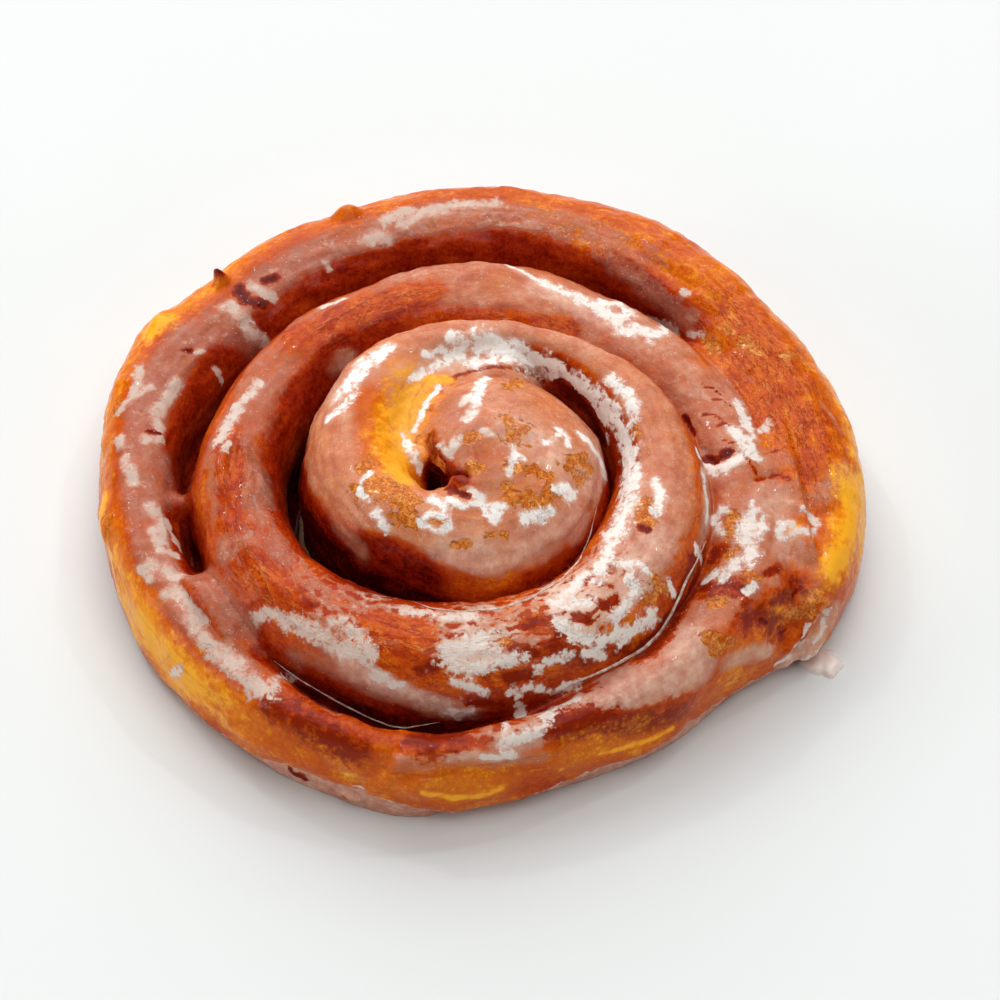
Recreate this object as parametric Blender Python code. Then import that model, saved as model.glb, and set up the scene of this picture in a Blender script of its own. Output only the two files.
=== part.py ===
"""A glazed cinnamon roll: one strip of dough wound into a flat coil and fried.

The coil is about 125 mm across and stands on its flat base at z = 0, with +Z up.
Seen from above it winds clockwise, from a knob near the middle out to a tail on the right.
A place along the dough is given in turns: 0 is the left side of the knob, a quarter turn
later is the back, then the right, then the front, and the dough ends at TAIL_TURN.
Sizes in the tables below are in millimetres.
"""

import math

import bmesh
import bpy
from mathutils import Vector

MM = 0.001

# Where the middle of the coil lies, so that the roll's box is centred on the origin.
COIL_X = -1.6
COIL_Y = -10.5

START_TURN = -0.02
TAIL_TURN = 3.523
RINGS_PER_TURN = 72
RING_POINTS = 28

# The outer edge of the dough: (turn, radius). One turn further out the same line is the
# inner edge of the next winding, so this one table sets both the spiral and the outline.
EDGE = (
    (-0.10, 4.0), (0.05, 9.3), (0.16, 15.8), (0.25, 20.8), (0.36, 22.4), (0.46, 22.4),
    (0.56, 21.4), (0.64, 21.6), (0.75, 22.2), (0.84, 22.6), (0.92, 25.4), (1.00, 28.3),
    (1.06, 29.8), (1.15, 31.4), (1.22, 30.6), (1.28, 29.8), (1.34, 31.6), (1.42, 35.2),
    (1.50, 37.4), (1.60, 37.9), (1.70, 39.2), (1.77, 41.2), (1.83, 41.6), (1.89, 42.2),
    (1.96, 44.2), (2.05, 47.6), (2.15, 48.0), (2.25, 50.6), (2.34, 50.0), (2.43, 48.4),
    (2.50, 48.8), (2.54, 51.4), (2.566, 51.8), (2.59, 49.6), (2.63, 48.0), (2.69, 46.2),
    (2.75, 48.2), (2.785, 50.0), (2.82, 50.0), (2.86, 51.2), (2.95, 55.6), (3.02, 60.4),
    (3.08, 66.6), (3.10, 68.2), (3.125, 66.6), (3.155, 68.4), (3.20, 68.4), (3.25, 70.0),
    (3.31, 69.4), (3.40, 65.8), (3.48, 64.0), (3.507, 62.6), (3.53, 60.4), (3.56, 57.4),
)

# Height of the crest of the winding: (turn, height).
CREST = (
    (-0.10, 33.0), (0.25, 34.5), (0.60, 34.0), (1.00, 32.0), (1.25, 31.5), (1.50, 28.5),
    (1.75, 26.0), (2.00, 24.5), (2.25, 25.0), (2.50, 22.0), (2.62, 18.5), (2.75, 17.0),
    (2.90, 17.0), (3.05, 19.0), (3.25, 22.0), (3.45, 20.5), (3.56, 15.0),
)

# Width of the open gap outside the winding: (turn, width). At zero and below, the two
# windings are pressed together.
GAP = (
    (-0.10, 0.0), (0.80, 0.0), (0.86, 2.4), (0.93, 4.0), (1.05, 3.2), (1.13, 1.0),
    (1.18, 0.0), (1.70, 0.0), (1.76, 1.6), (1.84, 1.6), (1.89, 0.0), (1.94, 0.0),
    (1.96, 2.0), (1.99, 2.0), (2.005, 0.6), (2.03, 2.4), (2.15, 2.0), (2.30, 2.6),
    (2.36, 1.4), (2.39, -1.0), (2.60, -1.0),
)

# Height of the dough and glaze that close the gap below: (turn, height). Zero leaves it open.
WEB = (
    (-0.10, 30.0), (0.00, 26.0), (0.15, 28.0), (0.30, 28.0), (0.45, 22.0), (0.60, 17.0),
    (0.78, 14.0), (0.86, 9.0), (0.91, 0.0), (0.97, 0.0), (1.04, 6.0), (1.20, 16.0),
    (1.40, 17.0), (1.55, 16.0), (1.70, 17.0), (1.76, 12.0), (1.84, 12.0), (1.89, 17.0),
    (1.94, 17.0), (1.96, 12.0), (1.98, 12.0), (2.00, 17.0), (2.03, 10.0), (2.15, 9.0),
    (2.30, 9.0), (2.36, 14.0), (2.40, 18.0), (2.50, 19.0), (2.60, 16.0),
)

ROUNDNESS = 2.5
WAIST_SHARE = 0.42
FOOT_DEPTH = 3.0
KNOB_SHARE = 0.8
KNOB_CLOSES = (0.88, 1.08)
WEB_HALF_WIDTH = 4.5
LEAST_WEB = 1.0
WEB_TURNS = (0.0, 2.545)
END_STEPS = 5
END_LENGTH = 0.035
END_SHARE = 0.1

VOXEL = 1.0
SMOOTH_PASSES = 4
KEPT_SHARE = 0.105
TABLE_SIDE = 200.0
TABLE_DEPTH = 40.0

CRUST_COLOUR = (0.48, 0.14, 0.03, 1.0)
CRUST_ROUGHNESS = 0.35


def read(table, turn):
    """The table's value at a turn, on a smooth curve through its rows."""
    rows = list(table)
    if turn <= rows[0][0]:
        return rows[0][1]
    for i in range(len(rows) - 1):
        (start, low), (end, high) = rows[i], rows[i + 1]
        if turn <= end:
            before = rows[max(i - 1, 0)]
            after = rows[min(i + 2, len(rows) - 1)]
            span = end - start
            slope_in = (high - before[1]) / (end - before[0]) * span
            slope_out = (after[1] - low) / (after[0] - start) * span
            s = (turn - start) / span
            return (
                low * (1 + 2 * s) * (1 - s) ** 2
                + slope_in * s * (1 - s) ** 2
                + high * s * s * (3 - 2 * s)
                + slope_out * s * s * (s - 1)
            )
    return rows[-1][1]


def place(turn, radius, height):
    """A point of the coil, in metres."""
    angle = 2 * math.pi * turn
    return Vector(
        (
            (COIL_X - radius * math.cos(angle)) * MM,
            (COIL_Y + radius * math.sin(angle)) * MM,
            height * MM,
        )
    )


def winding_sides(turn):
    """Inner and outer radius of the dough at a turn.

    The first winding reaches across the middle and fills the knob. Where it ends, the inner
    side moves out to the crease around the knob.
    """
    outer = read(EDGE, turn) - read(GAP, turn) / 2
    across = -KNOB_SHARE * read(EDGE, (turn + 0.5) % 1)
    crease = read(EDGE, turn - 1) + read(GAP, turn - 1) / 2
    first, last = KNOB_CLOSES
    share = min(max((turn - first) / (last - first), 0), 1)
    share = share * share * (3 - 2 * share)
    return across + share * (crease - across), outer


def rounded(angle):
    """A point of a rounded square of half side 1, at an angle."""
    c, s = math.cos(angle), math.sin(angle)
    power = 2 / ROUNDNESS
    return math.copysign(abs(c) ** power, c), math.copysign(abs(s) ** power, s)


def dough_ring(turn, share=1.0):
    """The outline of the dough's section at a turn, shrunk to a share of its size at the ends."""
    inner, outer = winding_sides(turn)
    middle, half = (inner + outer) / 2, (outer - inner) / 2
    crest = read(CREST, turn)
    waist = WAIST_SHARE * crest
    points = []
    for i in range(RING_POINTS):
        across, up = rounded(2 * math.pi * i / RING_POINTS)
        reach = crest - waist if up > 0 else waist + FOOT_DEPTH
        points.append(place(turn, middle + share * half * across, waist + share * reach * up))
    return points


def web_ring(turn):
    """A strip that closes the gap outside the winding, up to the web's height."""
    radius = read(EDGE, turn)
    top = max(read(WEB, turn), 0.0)
    low, high = radius - WEB_HALF_WIDTH, radius + WEB_HALF_WIDTH
    corners = ((high, -FOOT_DEPTH), (high, top), (low, top), (low, -FOOT_DEPTH))
    return [place(turn, r, z) for r, z in corners]


def sweep(mesh, rings):
    """Joins rings of points into one closed tube."""
    loops = [[mesh.verts.new(p) for p in ring] for ring in rings]
    for near, far in zip(loops, loops[1:]):
        for i in range(len(near)):
            j = (i + 1) % len(near)
            mesh.faces.new((near[i], near[j], far[j], far[i]))
    mesh.faces.new(reversed(loops[0]))
    mesh.faces.new(loops[-1])


def end_rings(turn, length):
    """Rings that round off an end of the dough, from its full section outwards."""
    for step in range(1, END_STEPS + 1):
        along = step / END_STEPS
        share = math.sqrt(max(1 - along * along, END_SHARE ** 2))
        yield dough_ring(turn + along * length, share)


def turns_between(first, last):
    count = math.ceil((last - first) * RINGS_PER_TURN)
    return [first + (last - first) * i / count for i in range(count + 1)]


def coil_mesh():
    """The dough and its webs as closed tubes that overlap."""
    mesh = bmesh.new()
    knob = list(end_rings(START_TURN, -END_LENGTH))
    rings = [dough_ring(t) for t in turns_between(START_TURN, TAIL_TURN)]
    sweep(mesh, knob[::-1] + rings + list(end_rings(TAIL_TURN, END_LENGTH)))
    first, last = WEB_TURNS
    closed = []
    for turn in turns_between(first, last):
        if read(WEB, turn) > LEAST_WEB:
            closed.append(web_ring(turn))
        elif closed:
            sweep(mesh, closed)
            closed = []
    sweep(mesh, closed)
    bmesh.ops.recalc_face_normals(mesh, faces=mesh.faces)
    data = bpy.data.meshes.new("coil")
    mesh.to_mesh(data)
    mesh.free()
    return data


def crust_material():
    material = bpy.data.materials.new("fried_crust")
    material.use_nodes = True
    shader = material.node_tree.nodes["Principled BSDF"]
    shader.inputs["Base Color"].default_value = CRUST_COLOUR
    shader.inputs["Roughness"].default_value = CRUST_ROUGHNESS
    return material


def table_cutter():
    """A block below z = 0 that leaves the base flat."""
    mesh = bmesh.new()
    bmesh.ops.create_cube(mesh, size=1)
    size = (TABLE_SIDE * MM, TABLE_SIDE * MM, TABLE_DEPTH * MM)
    bmesh.ops.scale(mesh, vec=size, verts=mesh.verts)
    bmesh.ops.translate(mesh, vec=(0, 0, -TABLE_DEPTH * MM / 2), verts=mesh.verts)
    data = bpy.data.meshes.new("table")
    mesh.to_mesh(data)
    mesh.free()
    table = bpy.data.objects.new("table", data)
    bpy.context.scene.collection.objects.link(table)
    table.hide_render = True
    table.display_type = "WIRE"
    return table


def make_roll():
    data = coil_mesh()
    data.materials.append(crust_material())
    roll = bpy.data.objects.new("cinnamon_roll", data)
    bpy.context.scene.collection.objects.link(roll)
    fuse = roll.modifiers.new("fuse", "REMESH")
    fuse.mode = "VOXEL"
    fuse.voxel_size = VOXEL * MM
    fuse.use_smooth_shade = True
    soften = roll.modifiers.new("soften", "SMOOTH")
    soften.iterations = SMOOTH_PASSES
    thin = roll.modifiers.new("thin", "DECIMATE")
    thin.ratio = KEPT_SHARE
    flatten = roll.modifiers.new("flatten", "BOOLEAN")
    flatten.operation = "DIFFERENCE"
    flatten.object = table_cutter()
    return roll


def main():
    for old in list(bpy.data.objects):
        bpy.data.objects.remove(old)
    make_roll()


main()
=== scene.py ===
"""The looks of a glazed, fried cinnamon roll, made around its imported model.

The roll is one strip of dough, wound clockwise seen from above. Its surface is found on a grid
as the zero of a distance field, then given its lumps, wrinkles, pits and patches of glaze.
A place along the dough is given in turns: 0 is the left side of the knob, a quarter turn
later is the back, then the right, then the front. Lengths are in millimetres until the
meshes are made. Pixel coordinates are those of the 1000 x 1000 photograph.
"""

import math

import bpy
import numpy as np
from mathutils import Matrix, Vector
from mathutils.bvhtree import BVHTree


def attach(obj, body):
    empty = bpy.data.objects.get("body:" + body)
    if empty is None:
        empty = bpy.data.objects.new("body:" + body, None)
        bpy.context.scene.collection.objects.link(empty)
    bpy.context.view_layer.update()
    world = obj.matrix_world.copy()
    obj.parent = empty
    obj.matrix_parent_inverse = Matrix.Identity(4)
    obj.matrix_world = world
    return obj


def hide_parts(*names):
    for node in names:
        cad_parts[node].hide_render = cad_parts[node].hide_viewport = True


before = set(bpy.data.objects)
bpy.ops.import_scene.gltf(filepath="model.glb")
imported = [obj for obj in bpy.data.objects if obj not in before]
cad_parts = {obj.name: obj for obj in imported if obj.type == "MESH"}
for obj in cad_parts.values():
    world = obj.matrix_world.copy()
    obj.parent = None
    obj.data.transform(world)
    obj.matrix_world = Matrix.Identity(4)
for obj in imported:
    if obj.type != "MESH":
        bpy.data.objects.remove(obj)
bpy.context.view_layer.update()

# A millimetre in metres, and a distance in millimetres that nothing on the roll reaches.
MM = 0.001
FAR = 1e3

# The middle of the coil and the two ends of the dough.
COIL_X = -1.6
COIL_Y = -10.5
ARM_TURN = 0.80
TAIL_TURN = 3.523
LAST_TURN = 3.6
END_LENGTH = 0.035
NARROWEST_BEND = 6.0

# The outer edge of the dough: (turn, radius). One turn further out it is the next inner edge.
EDGE = (
    (-0.20, 9.5), (-0.12, 7.6), (-0.04, 7.9), (0.05, 9.3), (0.16, 16.2), (0.25, 21.6), (0.31, 22.8),
    (0.36, 23.2), (0.42, 23.1), (0.48, 22.5), (0.56, 21.4), (0.64, 21.6), (0.75, 22.2), (0.84, 22.6),
    (0.92, 25.4), (1.00, 28.3), (1.06, 29.8), (1.15, 31.4), (1.22, 30.6), (1.28, 29.8), (1.34, 31.6),
    (1.42, 35.2), (1.50, 37.4), (1.60, 37.9), (1.70, 39.2), (1.77, 41.2), (1.83, 41.6), (1.89, 42.2),
    (1.96, 44.2), (2.05, 47.6), (2.15, 48.0), (2.25, 50.6), (2.34, 50.0), (2.43, 48.4), (2.50, 48.8),
    (2.54, 52.0), (2.566, 53.4), (2.584, 50.4), (2.63, 48.0), (2.69, 46.2), (2.75, 48.2), (2.785, 50.0),
    (2.82, 50.0), (2.86, 51.2), (2.95, 55.6), (3.02, 60.4), (3.08, 66.6), (3.10, 68.2), (3.125, 66.6),
    (3.155, 68.4), (3.20, 68.4), (3.25, 70.0), (3.31, 69.4), (3.40, 65.8), (3.48, 64.0), (3.507, 62.6),
    (3.53, 60.4), (3.56, 57.4),
)

# Height of the crest of the winding: (turn, height).
CREST = (
    (-0.10, 33.0), (0.25, 34.5), (0.60, 34.0), (1.00, 32.0), (1.25, 31.5), (1.50, 28.5), (1.75, 26.0),
    (2.00, 24.5), (2.10, 25.0), (2.17, 26.4), (2.27, 26.6), (2.35, 24.6), (2.50, 22.0), (2.62, 18.5),
    (2.75, 17.0), (2.90, 17.0), (3.05, 19.0), (3.25, 22.0), (3.45, 20.5), (3.56, 15.0),
)

# Width of the open gap outside the winding: (turn, width).
GAP = (
    (-0.10, 0.0), (0.30, 0.0), (0.35, 1.1), (0.43, 1.4), (0.48, 0.0), (0.80, 0.0), (0.86, 1.6), (0.93, 2.4),
    (1.05, 2.2), (1.13, 1.0), (1.18, 0.0), (1.70, 0.0), (1.76, 1.6), (1.84, 1.6), (1.89, 0.0), (1.955, 0.0),
    (1.968, 1.4), (1.992, 1.5), (2.006, 0.3), (2.03, 2.2), (2.15, 2.0), (2.30, 2.6), (2.36, 1.4),
    (2.39, -1.0), (2.60, -1.0),
)

# Height of the dough and glaze that close the crease outside the winding: (turn, height).
WEB = (
    (-0.24, -6.0), (-0.20, 27.0), (-0.16, 20.0), (-0.12, 12.0), (-0.08, 20.0), (0.00, 28.0), (0.10, 28.5),
    (0.25, 28.5), (0.31, 27.0), (0.35, 18.0), (0.42, 13.0), (0.50, 15.0), (0.60, 15.0), (0.78, 14.0),
    (0.86, 6.0), (0.93, 2.5), (1.06, 4.0), (1.20, 14.0), (1.40, 16.0), (1.55, 16.0), (1.70, 15.0),
    (1.76, 11.0), (1.84, 10.0), (1.87, 11.0), (1.89, 15.5), (1.952, 16.5), (1.968, 10.0), (1.992, 9.5),
    (2.001, 15.5), (2.012, 15.5), (2.026, 8.5), (2.05, 7.5), (2.09, 7.0), (2.15, 7.0), (2.30, 8.0),
    (2.35, 11.0), (2.39, 18.0), (2.45, 20.0), (2.51, 20.0), (2.53, 17.0), (2.56, -6.0),
)

# How softly the two windings meet at the crease: (turn, radius of the fillet).
FILLET = (
    (-0.20, 3.0), (-0.10, 1.0), (0.10, 1.0), (0.30, 0.6), (1.50, 0.7), (1.70, 1.0), (1.76, 0.8),
    (1.89, 2.5), (1.95, 2.0), (1.97, 0.8), (2.35, 1.2), (2.40, 4.5), (2.52, 5.0), (2.60, 2.0),
)

# The knob in the middle, from the left side of its crease round to the pit: (turn, radius).
KNOB = (
    (0.00, 8.4), (0.05, 9.3), (0.16, 16.2), (0.25, 21.6), (0.31, 22.8), (0.36, 23.2), (0.42, 23.1),
    (0.48, 22.5), (0.56, 21.4), (0.64, 21.6), (0.76, 22.2), (0.80, 18.0), (0.84, 11.5), (0.88, 8.0),
    (0.92, 7.5), (1.00, 8.4),
)

# How softly the knob runs into the dough that leaves it: (turn, radius of the fillet).
ARM_FILLET = (
    (0.70, 0.8), (0.78, 3.0), (0.88, 3.0), (0.95, 1.2), (1.00, 1.0),
)

# Holes: (radius, height of the bottom, (x, y), (x, y), ...), from the middle of the coil.
HOLES = (
    (1.15, 21.0, (-6.1, -1.2), (-5.0, -3.2), (-3.7, -5.4)), (0.6, 23.0, (-3.7, -5.4), (-0.6, -6.9)),
)

# The cross-section of the dough, the ends of the strip, the knob, and the webs that close the creases.
ROUNDNESS = 2.45
WAIST_SHARE = 0.42
FOOT_DEPTH = 3.0
CREASE_START = -0.24
ARM_REACH = -8.0
ARM_CLOSES = (0.72, 0.88)
ARM_TAPER = 0.12
KNOB_HEIGHT = 33.6
WEB_HALF_WIDTH = 4.0
WEB_FILLET = 1.6
HOLE_FILLET = 1.2

# The grid that the surface is found on, the step that slopes are measured with, and the least height
# of a point that is not on the underside.
CELL = 0.5
GRID_LOW = (-66.0, -64.0, -1.6)
GRID_HIGH = (66.0, 64.0, 37.5)
SLOPE_STEP = 0.4
LIFT = 0.02

# The lap that a piece's streaks follow where the windings are pressed into one.
LAPS = {"coil_middle": 2, "coil_outer_back": 3, "coil_outer_front": 3}

# The photograph's camera.
CAMERA_ELEVATION = 51.0
CAMERA_DISTANCE = 600.0
CAMERA_AIM = (0.0, 0.0, 12.0)
PIXELS_PER_MM = 6.14
PRINCIPAL = (481.5, 475.0)
PICTURE = 1000
SENSOR_WIDTH = 36.0
CAMERA_TILT = math.radians(CAMERA_ELEVATION)
CAMERA_BACK = Vector((0, -math.cos(CAMERA_TILT), math.sin(CAMERA_TILT)))
CAMERA_UP = Vector((0, math.sin(CAMERA_TILT), math.cos(CAMERA_TILT)))
CAMERA_RIGHT = Vector((1, 0, 0))
CAMERA_EYE = Vector(CAMERA_AIM) + CAMERA_BACK * CAMERA_DISTANCE

# The studio. Places and sizes of lights are in metres, their power in watts.
FLOOR_HALF = 3.0
FLOOR_COLOUR = (0.705, 0.727, 0.718)
FLOOR_ROUGHNESS = 0.7
WORLD_STRENGTH = 0.12
LIGHTS = (
    ("back", (-0.31, 1.93, 1.72), 3.0, 80.0),
    ("top", (0.20, -0.30, 2.36), 2.0, 28.0),
    ("low_front", (0.10, -2.20, 0.24), 0.45, 5.0),
    ("low_left", (-1.95, -0.35, 0.50), 0.9, 11.0),
    ("low_right", (1.95, -0.35, 0.50), 0.9, 4.0),
    ("glint_left", (-0.60, 0.70, 1.10), 0.06, 1.4),
    ("glint_right", (0.60, 0.50, 1.20), 0.06, 1.4),
)

# Colours, linear: a ramp holds (value, colour) from low to high.
# The darkest end of the crust ramp also serves as painted shade deep in the creases.
CRUST_STOPS = (
    (0.00, (0.95, 0.52, 0.060)), (0.08, (0.86, 0.35, 0.012)), (0.18, (0.72, 0.20, 0.005)),
    (0.34, (0.58, 0.095, 0.004)), (0.54, (0.43, 0.044, 0.004)), (0.72, (0.30, 0.018, 0.002)),
    (0.88, (0.19, 0.006, 0.001)), (1.00, (0.06, 0.002, 0.001)),
)
GOLD_STOPS = ((0.30, (0.44, 0.075, 0.008)), (0.46, (0.66, 0.18, 0.022)), (0.66, (0.84, 0.36, 0.080)))
YELLOW_STOPS = ((0.15, (0.72, 0.150, 0.004)), (0.50, (0.94, 0.285, 0.004)), (0.90, (1.00, 0.460, 0.022)))
RED_STOPS = ((0.20, (0.52, 0.085, 0.009)), (0.50, (0.36, 0.030, 0.003)), (0.90, (0.20, 0.010, 0.002)))
DARK_STOPS = ((0.20, (0.42, 0.075, 0.010)), (0.50, (0.28, 0.016, 0.002)), (0.90, (0.10, 0.003, 0.001)))
FILM_STOPS = ((0.32, (0.54, 0.205, 0.098)), (0.68, (0.77, 0.380, 0.230)))
MAUVE_STOPS = ((0.35, (0.31, 0.095, 0.052)), (0.65, (0.46, 0.19, 0.12)))
WHITE_STOPS = ((0.35, (0.84, 0.76, 0.69)), (0.60, (0.92, 0.88, 0.83)))
THREAD_STOPS = ((0.38, (0.42, 0.22, 0.16)), (0.66, (0.74, 0.64, 0.56)))
DRIP_STOPS = ((0.35, (0.74, 0.60, 0.53)), (0.65, (0.84, 0.77, 0.72)))
RIPPLE_COLOUR = (0.80, 0.42, 0.10)
GROOVE_COLOUR = (0.26, 0.02, 0.003)
CRACK_COLOUR = (0.24, 0.035, 0.004)
WINDOW_COLOUR = (0.32, 0.024, 0.003)
DEEP_GLAZE = (0.66, 0.45, 0.35)
CLOUDED_GLAZE = (0.80, 0.55, 0.42)
THIN_WHITE = (0.74, 0.55, 0.44)
DULL_WHITE = (0.52, 0.34, 0.26)
# The pale edge of the milky glaze, partly a painted highlight.
EDGE_COLOUR = (0.76, 0.52, 0.40)
LIP_COLOUR = (0.80, 0.60, 0.46)
SPECK_COLOUR = (0.84, 0.66, 0.52)

# How deep the glaze lies where it begins to hide the crust, and the size in millimetres of the noise
# that shakes the windows in it.
MILK_EDGE = 0.41
WINDOW_SHAKE = 1.8

# Round the bun, the turn where the milky glaze hangs lowest.
FILM_FRONT = 0.72

# Lumps of the dough: (height, size, seed, how many sizes, each half the one before).
LUMPS = ((0.55, 13.0, 1, 1), (0.28, 5.5, 2, 1), (0.14, 2.6, 3, 2))

# How far the paint of a path spreads, in shares of its radius, and by how much more in millimetres.
PAINT_SPREAD = 2.1
PAINT_MARGIN = 0.3

# The lines of glaze, whose pale colour is partly dried glaze and partly a painted reflection, and the drop
# that has run off the tail.
THREAD_SIDES = 8
THREAD_FLATNESS = 0.7
DRIP_SIDES = 48
DRIP_RINGS = 8
DRIP_PLACE = (54.4, -28.8)
DRIP_RADII = (3.3, 2.9)
DRIP_ANGLE = -35.0
DRIP_HEIGHT = 1.1

# How brown the crest of the dough is, from pale yellow to dark red: (turn, share).
BROWNED = (
    (0.00, 0.36), (1.00, 0.38), (1.30, 0.40), (1.60, 0.42), (2.00, 0.50), (2.25, 0.46), (2.50, 0.48),
    (2.75, 0.50), (3.00, 0.50), (3.15, 0.50), (3.28, 0.36), (3.45, 0.38), (3.56, 0.45),
)

# How milky the glaze on the crest is, and how much painted sheen lies on it: (turn, share).
FILMED_AND_SHEEN = (
    (0.00, 1.00), (1.00, 0.95), (1.25, 1.00), (1.50, 0.95), (1.75, 0.95), (2.00, 0.75), (2.15, 0.70),
    (2.30, 0.95), (2.50, 0.85), (2.75, 0.60), (3.00, 1.00), (3.15, 1.00), (3.25, 1.00), (3.32, 0.80),
    (3.37, 0.02), (3.44, 0.02), (3.56, 0.60),
)

# How dull and mauve the milky glaze is: (turn, share).
MAUVE = (
    (0.00, 0.00), (1.50, 0.10), (1.70, 0.40), (1.90, 0.95), (2.00, 0.85), (2.25, 0.25), (2.50, 0.35),
    (2.75, 0.50), (2.90, 1.00), (3.30, 1.00), (3.56, 0.50),
)

# How much the glaze on the crest is broken up by bare windows: (turn, share).
BROKEN = (
    (0.00, 0.30), (0.60, 0.15), (1.00, 0.12), (1.25, 0.20), (1.50, 0.35), (1.60, 0.60), (1.66, 1.00),
    (1.82, 1.00), (1.90, 0.55), (2.00, 0.40), (2.25, 0.30), (2.40, 0.35), (2.55, 0.20), (2.62, 0.30),
    (2.70, 0.60), (2.80, 0.60), (2.90, 0.35), (3.15, 0.35), (3.30, 0.50), (3.45, 0.25), (3.56, 0.40),
)

# The ledge between the rim and its foot: (part of a turn, height, how far the foot is set back).
LEDGE = (
    (0.00, 1.2, 0.5), (0.30, 1.0, 0.5), (0.50, 1.2, 0.6), (0.57, 3.0, 0.6), (0.62, 4.2, 0.6),
    (0.68, 4.4, 0.8), (0.71, 3.4, 1.2), (0.735, 2.6, 2.2), (0.760, 2.6, 2.2), (0.772, 3.6, 0.6),
    (0.79, 5.0, 0.3), (0.81, 6.0, 0.3), (0.84, 5.6, 0.5), (0.88, 2.6, 0.8), (0.92, 1.8, 1.2),
    (1.00, 1.2, 0.5),
)

# How much painted glow, for light shining through the dough, makes the rim yellow round the outline: (part
# of a turn, share).
RIM_PAINTED_GLOW = (
    (0.00, 0.55), (0.12, 0.65), (0.25, 0.30), (0.38, 0.45), (0.44, 0.70), (0.475, 1.00), (0.505, 1.10),
    (0.52, 0.45), (0.535, 0.10), (0.60, 0.05), (0.64, 0.30), (0.68, 0.35), (0.75, 0.35), (0.78, 0.35),
    (0.82, 0.10), (0.87, 0.60), (0.90, 1.00), (0.95, 0.90), (1.00, 0.55),
)

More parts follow.
